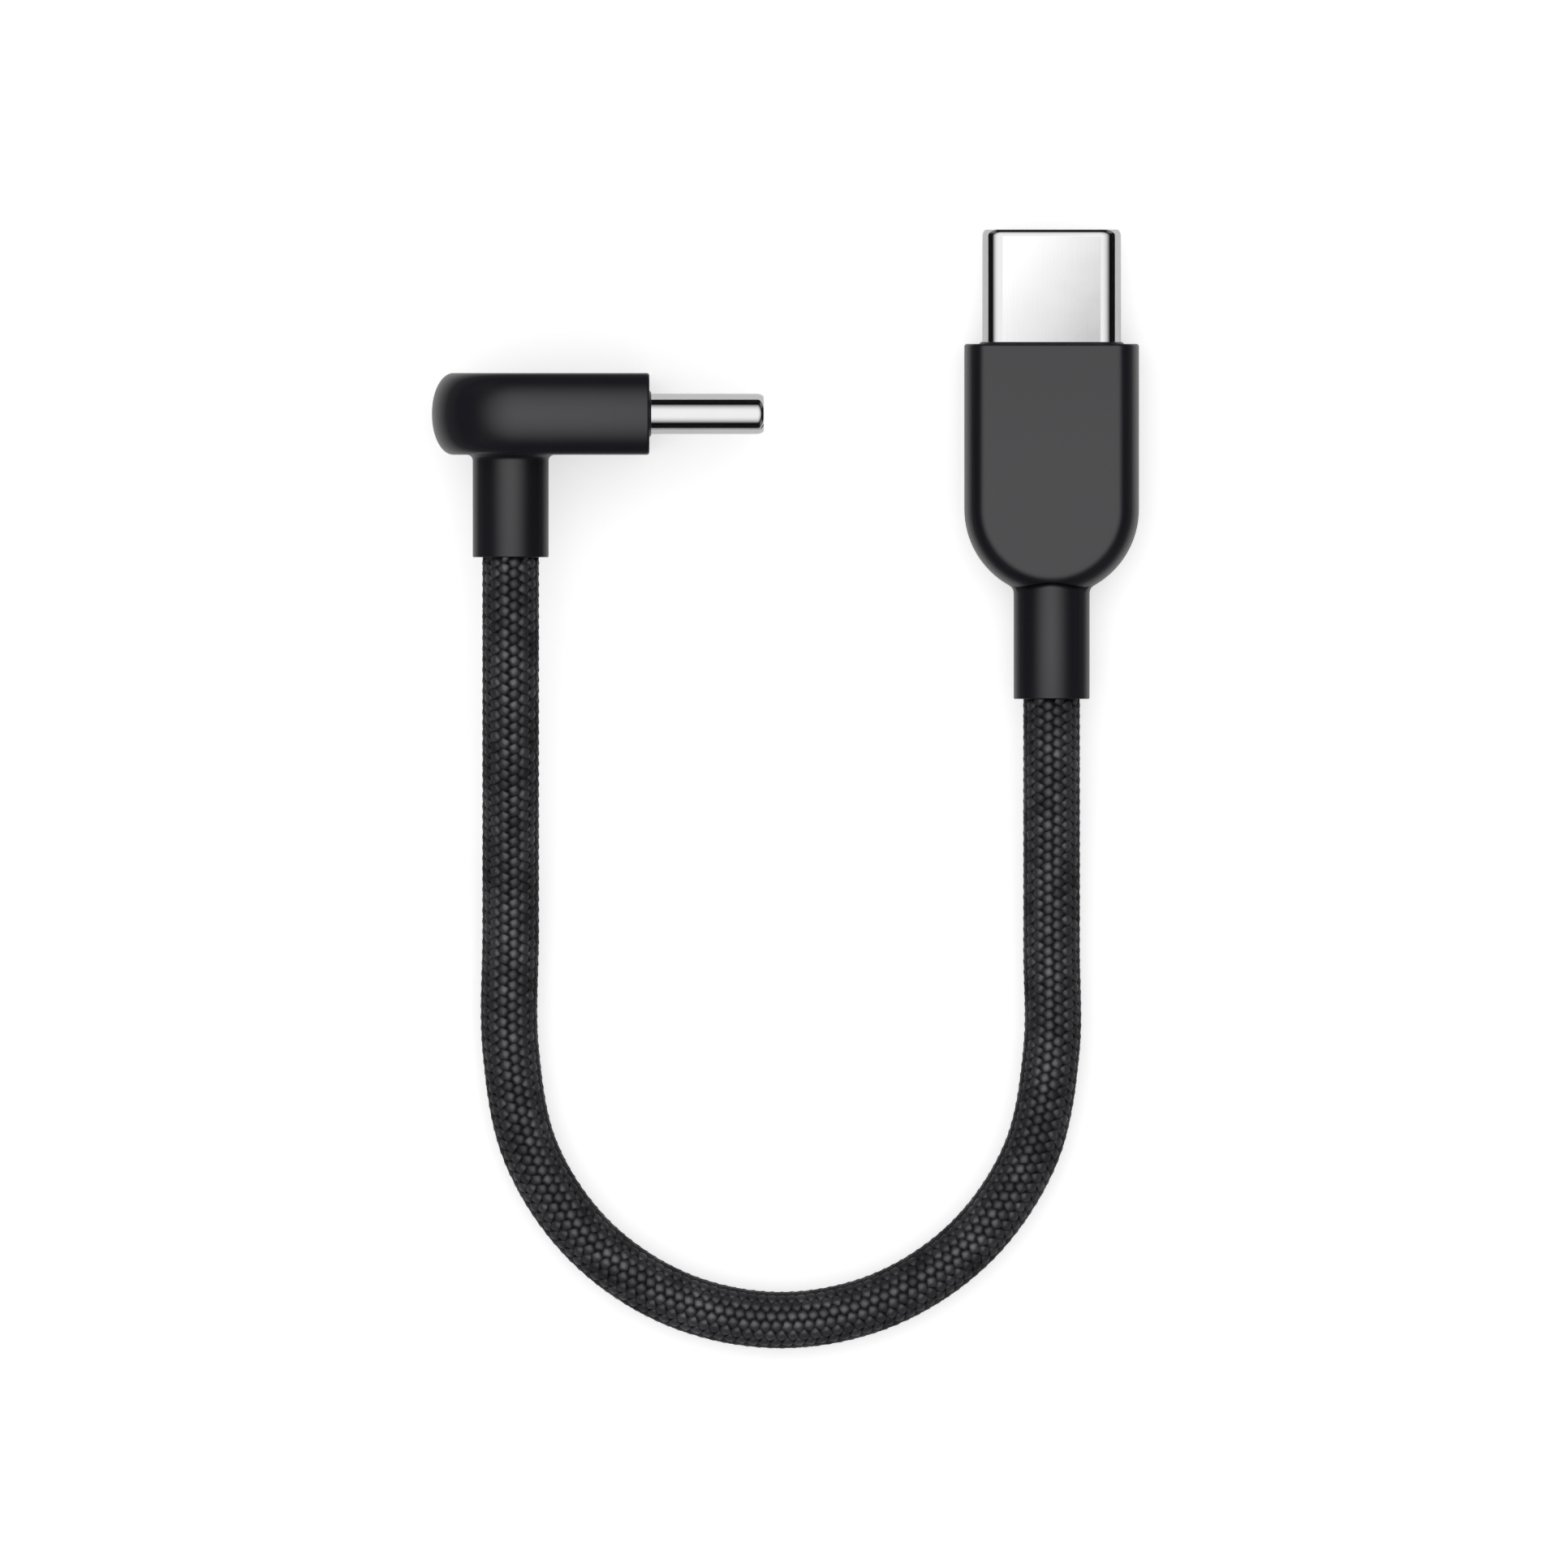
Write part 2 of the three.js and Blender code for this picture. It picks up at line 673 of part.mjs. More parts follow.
// A point inside a plug, on the cord's axis, at a distance out from the rear shield's wall.
function insidePlug(plug, along) {
  plug.group.updateMatrixWorld(true);
  return new THREE.Vector3(0, along, 0).applyMatrix4(plug.exit.matrixWorld);
}

function makeStations() {
  const chosen = CORD_POINTS.map((point) => new THREE.Vector3(...point));
  const route = new THREE.CatmullRomCurve3(chosen, false, 'centripetal');
  const step = CORD_STEP_DIAMETERS * CORD_DIAMETER;
  const free = route.getSpacedPoints(Math.round(route.getLength() / step));
  return [
    insidePlug(angled, -ANGLED_WIRE_REACH),
    insidePlug(angled, JACKET_START),
    ...free,
    insidePlug(straight, JACKET_START),
    insidePlug(straight, -STRAIGHT_WIRE_REACH),
  ];
}

function roundOutline(Path, radius, sides, height = 0, across = 0) {
  const outline = new Path();
  const points = [];
  for (let side = 0; side < sides; side += 1) {
    const turn = (side / sides) * 2 * Math.PI;
    points.push(new THREE.Vector2(height + radius * Math.cos(turn), across + radius * Math.sin(turn)));
  }
  return outline.setFromPoints(points);
}

function alongCord(shape, stations) {
  return new THREE.ExtrudeGeometry(shape, {
    steps: stations.length - 1,
    extrudePath: new CordStretch(stations),
  });
}

function makeLayer([outer, inner], stations) {
  const shape = roundOutline(THREE.Shape, outer, CORD_SIDES);
  shape.holes.push(roundOutline(THREE.Path, inner, CORD_SIDES));
  return alongCord(shape, stations);
}

function makeWire([height, across], stations) {
  return alongCord(roundOutline(THREE.Shape, WIRE_RADIUS, WIRE_SIDES, height, across), stations);
}

function makeCord() {
  const group = new THREE.Group();
  const whole = makeStations();
  const clamped = whole.slice(1, -1);
  const free = whole.slice(2, -2);
  group.add(piece('cord_braided_sleeve', makeLayer(sleeveRadii, free), MATERIALS.braid));
  group.add(piece('cord_jacket', makeLayer(jacketRadii, clamped), MATERIALS.jacket));
  group.add(piece('cord_shield_layer', makeLayer(cordShieldRadii, clamped), MATERIALS.tin));
  const colours = {
    power_wire: MATERIALS.power,
    ground_wire: MATERIALS.ground,
    data_plus_wire: MATERIALS.dataPlus,
    config_wire: MATERIALS.config,
    data_minus_wire: MATERIALS.dataMinus,
  };
  for (const [name, place] of Object.entries(WIRE_PLACES)) {
    group.add(piece(`cord_${name}`, makeWire(place, whole), colours[name]));
  }
  return group;
}

// ---------------------------------------------------------------- the whole cable

const cable = new THREE.Group();
cable.add(angled.group, straight.group, makeCord());

export default cable;
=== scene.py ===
# %% [markdown]
# # A short charging cable
#
# The object is a braided charging cable with a straight plug on one end and a right-angle plug on the
# other. This lesson puts the visible surfaces on a mechanical model that already exists. The model
# gives the sizes and places, so it is loaded first and stays as it is. The finishes, the light and the
# smallest edges were then set by comparing each render with the picture.

import math

import bmesh
import bpy
from mathutils import Matrix, Vector


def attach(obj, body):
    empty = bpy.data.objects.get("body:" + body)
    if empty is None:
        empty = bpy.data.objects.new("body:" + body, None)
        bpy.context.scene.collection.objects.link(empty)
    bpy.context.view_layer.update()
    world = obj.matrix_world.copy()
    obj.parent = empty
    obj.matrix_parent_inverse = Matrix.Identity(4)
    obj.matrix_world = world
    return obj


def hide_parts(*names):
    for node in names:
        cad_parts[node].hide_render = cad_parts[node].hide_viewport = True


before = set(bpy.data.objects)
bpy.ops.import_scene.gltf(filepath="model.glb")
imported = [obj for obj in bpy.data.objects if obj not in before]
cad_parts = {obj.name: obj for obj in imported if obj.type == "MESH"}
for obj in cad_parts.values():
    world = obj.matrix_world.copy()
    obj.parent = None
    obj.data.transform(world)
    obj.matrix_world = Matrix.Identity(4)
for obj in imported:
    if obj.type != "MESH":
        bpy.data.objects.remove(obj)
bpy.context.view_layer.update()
MM = 0.001
FIXED_BODY = "cable"

# %% [markdown]
# ## The camera
#
# The picture shows the cable laid out flat and seen straight from above. Parallel edges stay parallel
# and the two plugs have the same scale, so the lens is a very long one. An orthographic camera is the
# limit of such a lens. Its scale is the width of the picture in millimetres.

# %% Camera straight above the cable
PICTURE_SIDE_PX = 1932
PX_PER_MM = 20.7
VIEW_CENTRE_MM = (-0.10, -19.05)
CAMERA_HEIGHT_MM = 400

scene = bpy.context.scene
scene.view_settings.view_transform = "Standard"
camera_data = bpy.data.cameras.new("picture_view")
camera_data.type = "ORTHO"
camera_data.ortho_scale = PICTURE_SIDE_PX / PX_PER_MM * MM
camera = bpy.data.objects.new("picture_view", camera_data)
camera.location = Vector((*VIEW_CENTRE_MM, CAMERA_HEIGHT_MM)) * MM
scene.collection.objects.link(camera)
scene.camera = camera
print("the picture is", round(camera_data.ortho_scale / MM, 2), "mm wide")

# %% [markdown]
# ## The way the cord runs
#
# The cord leaves the right-angle plug, comes down to the table, goes round half a circle and rises a
# little to the straight plug. The same points as in the mechanical model are joined here by a smooth
# line. A centripetal curve is chosen because it never loops or overshoots between uneven points.

# %% Route of the cord
CORD_POINTS_MM = [
    (-16.37, -5.84, 5.2),
    (-16.37, -9.0, 5.2),
    (-16.37, -13.0, 4.9),
    (-16.37, -18.0, 3.9),
    (-16.37, -23.0, 2.75),
    (-16.37, -28.0, 1.95),
    (-16.37, -34.86, 1.67),
    (-15.15, -41.02, 1.67),
    (-11.66, -46.24, 1.67),
    (-6.44, -49.73, 1.67),
    (-0.28, -50.96, 1.67),
    (5.88, -49.73, 1.67),
    (11.1, -46.24, 1.67),
    (14.59, -41.02, 1.67),
    (15.82, -34.86, 1.67),
    (15.83, -29.0, 1.7),
    (15.83, -24.0, 1.95),
    (15.83, -19.0, 2.37),
    (15.83, -14.29, 2.435),
]
ANGLED_RELIEF_FACE_MM = (-16.37, -5.56, 5.2)
STRAIGHT_RELIEF_FACE_MM = (15.83, -13.985, 2.435)
ANGLED_JACKET_END_MM = (-16.37, 1.48, 5.2)
STRAIGHT_JACKET_END_MM = (15.83, -3.35, 2.435)
ANGLED_WIRE_END_MM = (-16.37, 2.68, 5.2)
STRAIGHT_WIRE_END_MM = (15.83, -1.85, 2.435)
SLEEVE_PIECES_PER_POINT = 40
JACKET_PIECES_PER_POINT = 16

# %% A smooth line through the points


def smooth_line(points, pieces):
    """A centripetal curve through the points, with that many short pieces between each pair."""
    points = [Vector(point) for point in points]
    points = [2 * points[0] - points[1], *points, 2 * points[-1] - points[-2]]
    line = []
    for before, start, end, after in zip(points, points[1:], points[2:], points[3:]):
        a, b, c = (math.sqrt((q - p).length) for p, q in ((before, start), (start, end), (end, after)))
        leaving = ((start - before) / a - (end - before) / (a + b) + (end - start) / b) * b
        arriving = ((end - start) / b - (after - start) / (b + c) + (after - end) / c) * b
        for step in range(pieces):
            t = step / pieces
            line.append(
                start * (2 * t**3 - 3 * t**2 + 1)
                + leaving * (t**3 - 2 * t**2 + t)
                + end * (3 * t**2 - 2 * t**3)
                + arriving * (t**3 - t**2)
            )
    return line + [points[-2]]


def length_of(line):
    return sum((q - p).length for p, q in zip(line, line[1:]))


sleeve_points = [ANGLED_RELIEF_FACE_MM, *CORD_POINTS_MM, STRAIGHT_RELIEF_FACE_MM]
jacket_points = [ANGLED_JACKET_END_MM, *CORD_POINTS_MM, STRAIGHT_JACKET_END_MM]
sleeve_line = smooth_line(sleeve_points, SLEEVE_PIECES_PER_POINT)
jacket_line = smooth_line(jacket_points, JACKET_PIECES_PER_POINT)
print("free cord:", round(length_of(sleeve_line), 1), "mm, jacket:", round(length_of(jacket_line), 1), "mm")

# %% [markdown]
# ## Building nodes in a script
#
# Both the woven sleeve and the finishes are made of nodes. A few small helpers keep that readable. One
# adds a node, sets its options and connects its inputs. The others do arithmetic on numbers and on
# vectors, and turn one range of numbers into another.

# %% Helpers for node trees


def add_node(tree, kind, inputs=None, **options):
    """Adds a node. Each input is a value, or an output socket that is linked to it."""
    node = tree.nodes.new(kind)
    for name, value in options.items():
        setattr(node, name, value)
    for name, value in (inputs or {}).items():
        if isinstance(value, bpy.types.NodeSocket):
            tree.links.new(value, node.inputs[name])
        else:
            node.inputs[name].default_value = value
    return node


def calculate(tree, operation, *values):
    node = add_node(tree, "ShaderNodeMath", dict(enumerate(values)), operation=operation)
    return node.outputs[0]


def combine_vectors(tree, operation, *values):
    node = add_node(tree, "ShaderNodeVectorMath", dict(enumerate(values)), operation=operation)
    return node.outputs[0]


def scale_vector(tree, vector, factor):
    node = add_node(tree, "ShaderNodeVectorMath", {0: vector, "Scale": factor}, operation="SCALE")
    return node.outputs[0]


def join_axes(tree, x, y, z=0.0):
    return add_node(tree, "ShaderNodeCombineXYZ", {"X": x, "Y": y, "Z": z}).outputs[0]


def split_axes(tree, vector):
    return add_node(tree, "ShaderNodeSeparateXYZ", {0: vector}).outputs


def between(tree, value, low, high, start=0.0, end=1.0, smooth=False):
    """A number that goes from low to high as the value goes from start to end."""
    node = add_node(
        tree,
        "ShaderNodeMapRange",
        {"Value": value, "From Min": start, "From Max": end, "To Min": low, "To Max": high},
        interpolation_type="SMOOTHSTEP" if smooth else "LINEAR",
    )
    return node.outputs["Result"]


def add_noise(tree, place, scale, detail, **more):
    """A noise with so many lumps to the unit of place, as a number from 0 to 1."""
    inputs = {"Vector": place, "Scale": scale, "Detail": detail, **more}
    return add_node(tree, "ShaderNodeTexNoise", inputs).outputs["Fac"]


def open_group(name, kind, inputs, outputs):
    """A node group with named inputs (kind and starting value) and outputs."""
    group = bpy.data.node_groups.new(name, kind)
    for label, (socket_kind, value) in inputs.items():
        socket = group.interface.new_socket(label, in_out="INPUT", socket_type=socket_kind)
        if value is not None:
            socket.default_value = value
    for label, socket_kind in outputs.items():
        group.interface.new_socket(label, in_out="OUTPUT", socket_type=socket_kind)
    return group, group.nodes.new("NodeGroupInput"), group.nodes.new("NodeGroupOutput")


# %% [markdown]
# ## Effects that several finishes share
#
# Moulded plastic copies the fine spark-eroded texture of its mould, so its surface is a field of tiny
# bumps. Drawn and stamped metal keeps faint lines along the way it slid through the tool. Each effect
# is a node group that puts out a height and a mask, and every material uses it with its own values.

# %% Node group: texture of the mould
CLOUDS_PER_MM = 0.35
GRAIN_SHARE = 0.5


def make_mould_texture():
    group, given, result = open_group(
        "mould_texture",
        "ShaderNodeTree",
        {"Grains per mm": ("NodeSocketFloat", 14.0), "Unevenness": ("NodeSocketFloat", 0.5)},
        {"Height": "NodeSocketFloat", "Tone": "NodeSocketFloat"},
    )
    place = add_node(group, "ShaderNodeTexCoord").outputs["Object"]
    per_metre = calculate(group, "MULTIPLY", given.outputs["Grains per mm"], 1 / MM)
    grains = add_noise(group, place, per_metre, 2.0, Roughness=0.6)
    clouds = add_noise(group, place, CLOUDS_PER_MM / MM, 3.0)
    tone = calculate(group, "MULTIPLY", clouds, given.outputs["Unevenness"])
    tone = calculate(group, "MULTIPLY_ADD", grains, GRAIN_SHARE, tone)
    group.links.new(grains, result.inputs["Height"])
    group.links.new(tone, result.inputs["Tone"])
    return group


mould_texture = make_mould_texture()
print("effect:", mould_texture.name, "with", len(mould_texture.nodes), "nodes")

# %% Node group: lines of drawn metal
SMUDGES_PER_MM = 0.6


def make_drawn_lines():
    group, given, result = open_group(
        "drawn_lines",
        "ShaderNodeTree",
        {"Lines": ("NodeSocketVector", (1.0, 1.0, 1.0)), "Lines per mm": ("NodeSocketFloat", 12.0)},
        {"Height": "NodeSocketFloat", "Smudges": "NodeSocketFloat"},
    )
    place = add_node(group, "ShaderNodeTexCoord").outputs["Object"]
    drawn = combine_vectors(group, "MULTIPLY", place, given.outputs["Lines"])
    per_metre = calculate(group, "MULTIPLY", given.outputs["Lines per mm"], 1 / MM)
    group.links.new(add_noise(group, drawn, per_metre, 3.0, Roughness=0.7), result.inputs["Height"])
    group.links.new(add_noise(group, place, SMUDGES_PER_MM / MM, 4.0), result.inputs["Smudges"])
    return group


drawn_lines = make_drawn_lines()
print("effect:", drawn_lines.name, "with", len(drawn_lines.nodes), "nodes")

# %% Helpers for materials


def start_material(name):
    material = bpy.data.materials.new(name)
    material.use_nodes = True
    return material, material.node_tree, material.node_tree.nodes["Principled BSDF"]


def blend_colours(tree, share, first, second):
    """A mix of two colours, whose sockets come after the node's sockets for numbers and vectors."""
    node = add_node(tree, "ShaderNodeMix", data_type="RGBA")
    tree.links.new(share, node.inputs[0])
    node.inputs[6].default_value = (*first, 1)
    node.inputs[7].default_value = (*second, 1)
    return node.outputs[2]


def add_bump(tree, shader, height, depth_mm):
    bump = add_node(tree, "ShaderNodeBump", {"Strength": 1.0, "Distance": depth_mm * MM, "Height": height})
    tree.links.new(bump.outputs["Normal"], shader.inputs["Normal"])


def grey(level, tint=0.0):
    """A nearly neutral colour. Tint is how much more blue it has than red and green."""
    return (level, level, level * (1 + tint))


# %% [markdown]
# ## A matt gloss
#
# The mould's grain and the filaments of the yarn are too fine to build. Seen from straight above they
# shine, but at a slant one grain hides the shine of the next, and the surface turns dark, until it is
# seen nearly edge-on and the shine comes back. A plain rough gloss does not do that. So Layer Weight,
# which says how far the surface slants away, takes the specular level down, and on the plastic back up.

# %% Helper for a matt gloss
NEUTRAL_GLOSS = 0.5
FADE_STEEPNESS = 0.7
RETURN_FROM = 0.45
RETURN_TO = 0.78


def fade_gloss(tree, shader, least, fades_by, returns=0.0, whole=1.0):
    """Takes the gloss down to the least as the slant reaches fades_by, and back up edge-on."""
    slant = add_node(tree, "ShaderNodeLayerWeight", {"Blend": 0.5}).outputs["Facing"]
    share = calculate(tree, "POWER", calculate(tree, "DIVIDE", slant, fades_by), FADE_STEEPNESS)
    lost = between(tree, share, NEUTRAL_GLOSS, least)
    back = between(tree, slant, 0.0, returns, RETURN_FROM, RETURN_TO)
    level = calculate(tree, "MULTIPLY", calculate(tree, "ADD", lost, back), whole)
    tree.links.new(level, shader.inputs["Specular IOR Level"])


# %% Plastic and metal
LEAST_GLOSS = 0.04
GLOSS_FADES_BY = 0.28
GLOSS_RETURNS = 0.35
PLASTIC_SPREAD = 0.04
METAL_SPREAD = 0.3
ALONG_X = (0.03, 1.0, 1.0)
ALONG_Y = (1.0, 0.03, 1.0)
LINES_OF = {"straight": ALONG_Y, "angled": ALONG_X}


def make_plastic(name, dark, light, roughness, grains_per_mm=14.0, depth_mm=0.004, ior=1.5, matt=False):
    """Moulded plastic or rubber: two near colours, mottled, with the mould's texture."""
    material, tree, shader = start_material(name)
    shader.inputs["IOR"].default_value = ior
    texture = add_node(tree, "ShaderNodeGroup", node_tree=mould_texture)
    texture.inputs["Grains per mm"].default_value = grains_per_mm
    tone = texture.outputs["Tone"]
    rough = between(tree, tone, roughness - PLASTIC_SPREAD, roughness + PLASTIC_SPREAD)
    tree.links.new(blend_colours(tree, tone, dark, light), shader.inputs["Base Color"])
    tree.links.new(rough, shader.inputs["Roughness"])
    add_bump(tree, shader, texture.outputs["Height"], depth_mm)
    if matt:
        fade_gloss(tree, shader, LEAST_GLOSS, GLOSS_FADES_BY, GLOSS_RETURNS)
    return material


def make_metal(name, dark, light, roughness, lines, lines_per_mm=12.0, depth_mm=0.0004):
    """Drawn or stamped metal: lines is how much the pattern is squeezed along X, Y and Z."""
    material, tree, shader = start_material(name)
    shader.inputs["Metallic"].default_value = 1.0
    texture = add_node(tree, "ShaderNodeGroup", node_tree=drawn_lines)
    texture.inputs["Lines"].default_value = lines
    texture.inputs["Lines per mm"].default_value = lines_per_mm
    smudges = texture.outputs["Smudges"]
    rough = between(tree, smudges, roughness * (1 - METAL_SPREAD), roughness * (1 + METAL_SPREAD))
    tree.links.new(blend_colours(tree, smudges, dark, light), shader.inputs["Base Color"])
    tree.links.new(rough, shader.inputs["Roughness"])
    add_bump(tree, shader, texture.outputs["Height"], depth_mm)
    return material


# %% [markdown]
# ## Closed skins
#
# Most pieces here are a row of rings with the same number of points: outlines that shrink towards a
# rim, circles along a cord, circles of a turned part. One helper joins such rings into a closed mesh.
# Either the first and last ring get a cap, or the rows are looped, which makes a hollow part.

# %% Helpers for meshes
CREASE_DEGREES = 35


def start_mesh(rings, place):
    """A mesh with only the rings' corners; rings and place are in millimetres."""
    built = bmesh.new()
    return built, [[built.verts.new((place @ Vector(point)) * MM) for point in ring] for ring in rings]


def end_mesh(built, name):
    mesh = bpy.data.meshes.new(name)
    built.to_mesh(mesh)
    built.free()
    return mesh


def skin(name, rings, looped=False, place=Matrix.Identity(4)):
    """A closed mesh over rings of points in millimetres; place is a matrix in millimetres."""
    built, rows = start_mesh(rings, place)
    for row, following in zip(rows, rows[1:] + rows[:1] * looped):
        for here, corner in enumerate(row):
            there = (here + 1) % len(row)
            built.faces.new((corner, row[there], following[there], following[here]))
    if not looped:
        built.faces.new(rows[0])
        built.faces.new(rows[-1])
    bmesh.ops.recalc_face_normals(built, faces=built.faces)
    return end_mesh(built, name)


def soften(mesh, degrees=CREASE_DEGREES):
    """Smooth shading, with a crease wherever two faces meet at more than that angle."""
    mesh.shade_smooth()
    mesh.set_sharp_from_angle(angle=math.radians(degrees))
    return mesh


def settle(mesh, material, nodes=(), body=FIXED_BODY):
    """Makes the mesh a piece of the object: finished, riding on a body, standing for its nodes."""
    piece = bpy.data.objects.new(mesh.name, mesh)
    scene.collection.objects.link(piece)
    if material is not None:
        mesh.materials.clear()
        mesh.materials.append(material)
    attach(piece, body)
    if nodes:
        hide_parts(*nodes)
    print(piece.name, len(mesh.polygons), "faces")
    return piece


# %% [markdown]
# ## The woven sleeve
#
# Sixteen flat yarns cover the cord. Eight wind one way round it and eight the other way, and each goes
# over one yarn of the other lay and under the next. So one yarn is a screw line whose distance from the
# middle swings in and out, once out and once in for every two crossings. An image of a weave would be
# quicker, but it would leave the outline smooth, and the real outline is bumpy. Geometry Nodes build
# the yarns in four steps, and both lays use the same tree, with the turn and the swing reversed.
#
# The first step follows the route. Its points remember where they are and which way the cord runs
# there, and the line is copied once for each yarn. A tree can make every yarn or every second one,
# because a whole lay in one piece would be too heavy a mesh.

# %% Sleeve, step 1: follow the route


def follow_route(tree, sizes):
    """One copy of the route for each yarn, and what each point of it remembers."""
    line = add_node(tree, "GeometryNodeMeshToCurve", {"Mesh": sizes["Route"]})
    even = add_node(
        tree,
        "GeometryNodeResampleCurve",
        {"Curve": line.outputs[0], "Count": sizes["Points per yarn"]},
        mode="COUNT",
    )
    kept = add_node(tree, "GeometryNodeCaptureAttribute", domain="POINT")
    for kind, label in (("VECTOR", "Middle"), ("VECTOR", "Direction"), ("FLOAT", "Run")):
        kept.capture_items.new(kind, label)
    tree.links.new(even.outputs["Curve"], kept.inputs["Geometry"])
    tree.links.new(add_node(tree, "GeometryNodeInputPosition").outputs[0], kept.inputs["Middle"])
    tree.links.new(add_node(tree, "GeometryNodeInputTangent").outputs[0], kept.inputs["Direction"])
    tree.links.new(add_node(tree, "GeometryNodeSplineParameter").outputs["Length"], kept.inputs["Run"])
    amount = calculate(tree, "DIVIDE", sizes["Yarns"], sizes["Every"])
    copies = add_node(
        tree,
        "GeometryNodeDuplicateElements",
        {"Geometry": kept.outputs["Geometry"], "Amount": amount},
        domain="SPLINE",
    )
    index = copies.outputs["Duplicate Index"]
    number = calculate(tree, "MULTIPLY_ADD", index, sizes["Every"], sizes["First yarn"])
    return copies.outputs["Geometry"], number, kept.outputs


# %% [markdown]
# The second step moves each point out to its yarn. The yarn's angle grows with the length that it has
# run, and its distance from the middle follows a cosine whose tops are flattened, because a yarn lies
# flat on the one that it crosses. A little noise lets each yarn wander, so that no two crossings are
# quite alike. Where the cord lies on the table, no yarn sinks into it.

# %% Sleeve, step 2: place the points
LUCK_PER_MM = 1.1
LUCK_STEP = 3.7
SIDEWAYS_WANDER = 6.0
FLATTENED_TOPS = 0.5
LEAST_HEIGHT = 0.52


def wander_of(tree, sizes, number, middle):
    """How far a yarn strays outward at a point, from a noise of its own."""
    own = calculate(tree, "MULTIPLY_ADD", number, LUCK_STEP, sizes["Seed"])
    luck = add_node(
        tree,
        "ShaderNodeTexNoise",
        {"Vector": middle, "Scale": LUCK_PER_MM / MM, "Detail": 1.0, "W": own},
        noise_dimensions="4D",
    )
    both_ways = calculate(tree, "SUBTRACT", luck.outputs["Fac"], 0.5)
    return calculate(tree, "MULTIPLY", both_ways, sizes["Looseness"])


def angle_of(tree, sizes, number, turns, wander):
    """The yarn's angle round the cord, in radians."""
    share = calculate(tree, "DIVIDE", number, sizes["Yarns"])
    angle = calculate(tree, "MULTIPLY_ADD", turns, sizes["Hand"], share)
    angle = calculate(tree, "ADD", angle, sizes["Column shift"])
    angle = calculate(tree, "MULTIPLY", angle, math.tau)
    strayed = calculate(tree, "MULTIPLY", wander, SIDEWAYS_WANDER)
    return calculate(tree, "ADD", angle, calculate(tree, "DIVIDE", strayed, sizes["Middle radius"]))


def wave_of(tree, sizes, swings):
    """1 where the yarn is on top of a crossing and -1 where it is under one."""
    wave = calculate(tree, "COSINE", calculate(tree, "MULTIPLY", swings, math.tau))
    squared = calculate(tree, "MULTIPLY", wave, wave)
    flattened = calculate(tree, "MULTIPLY_ADD", squared, -FLATTENED_TOPS, 1 + FLATTENED_TOPS)
    wave = calculate(tree, "MULTIPLY", wave, flattened)
    return calculate(tree, "MULTIPLY", wave, sizes["Hand"])


def place_on_cord(tree, sizes, angle, radius, middle, direction):
    """The direction outward at that angle, and the point on the yarn's middle line."""
    sideways = combine_vectors(tree, "CROSS_PRODUCT", (0.0, 0.0, 1.0), direction)
    across = combine_vectors(tree, "NORMALIZE", sideways)
    up = combine_vectors(tree, "CROSS_PRODUCT", direction, across)
    outward = combine_vectors(
        tree,
        "ADD",
        scale_vector(tree, up, calculate(tree, "COSINE", angle)),
        scale_vector(tree, across, calculate(tree, "SINE", angle)),
    )
    at = split_axes(tree, combine_vectors(tree, "ADD", middle, scale_vector(tree, outward, radius)))
    lowest = calculate(tree, "MULTIPLY", sizes["Yarn thickness"], LEAST_HEIGHT)
    return outward, join_axes(tree, at["X"], at["Y"], calculate(tree, "MAXIMUM", at["Z"], lowest))


# %% [markdown]
# The third step gives each point a tone and a fullness. The part of a yarn that shows between two
# crossings is called a float. Light catches one float more than the next, and neighbours are often
# alike, so a float's tone is half its own luck and half a slow noise over the cord. Towards the
# float's ends, where the yarn dives under another, the tone fades to dark: that darkening is painted
# shade, not a colour of the yarn. There it is also squeezed thinner.

# %% Sleeve, step 3: tone and fullness
LUCK_ID_STEP = 997.0
PATCHES_PER_MM = 0.5
PATCH_RANGE = (0.35, 0.65)
OWN_SHARE = 0.5
DARKEST_FLOAT = 0.1
# The next range is where a float's tone climbs from its darkened end, which is painted shade, to its crest.
DIP_SHADE_RANGE = (-0.1, 0.95)
FULLNESS_RANGE = (-1.0, 0.7)


def float_tone_and_dip_shade_of(tree, sizes, number, swings, wave, position):
    """0 for a float's end, darkened there as painted shade, and up to 1 on the crest of a light float."""
    # The right-hand lay (Hand 1) is on top at whole swings, and the other lay half a swing later.
    started = calculate(tree, "MULTIPLY_ADD", sizes["Hand"], -0.25, 0.25)
    float_number = calculate(tree, "ROUND", calculate(tree, "SUBTRACT", swings, started))
    luck = add_node(tree, "FunctionNodeRandomValue", {"Seed": sizes["Seed"]}, data_type="FLOAT")
    own_id = calculate(tree, "MULTIPLY_ADD", number, LUCK_ID_STEP, float_number)
    tree.links.new(own_id, luck.inputs["ID"])
    patch = between(tree, add_noise(tree, position, PATCHES_PER_MM / MM, 1.0), 0.0, 1.0, *PATCH_RANGE)
    shared = calculate(tree, "MULTIPLY", patch, 1 - OWN_SHARE)
    tone = calculate(tree, "MULTIPLY_ADD", luck.outputs[1], OWN_SHARE, shared)
    tone = calculate(tree, "MULTIPLY_ADD", tone, 1 - DARKEST_FLOAT, DARKEST_FLOAT)
    # The float's ends are darkened here as painted shade, where the yarn dives under the other lay.
    return calculate(tree, "MULTIPLY", between(tree, wave, 0.0, 1.0, *DIP_SHADE_RANGE), tone)


# %% [markdown]
# The fourth step draws a flat section along each line. The section's corners remember how far across
# the yarn they are. With the length that it has run and its tone, that is stored on the mesh as
# on_yarn, and the yarn's material reads it.

# %% Sleeve, step 4: the flat section


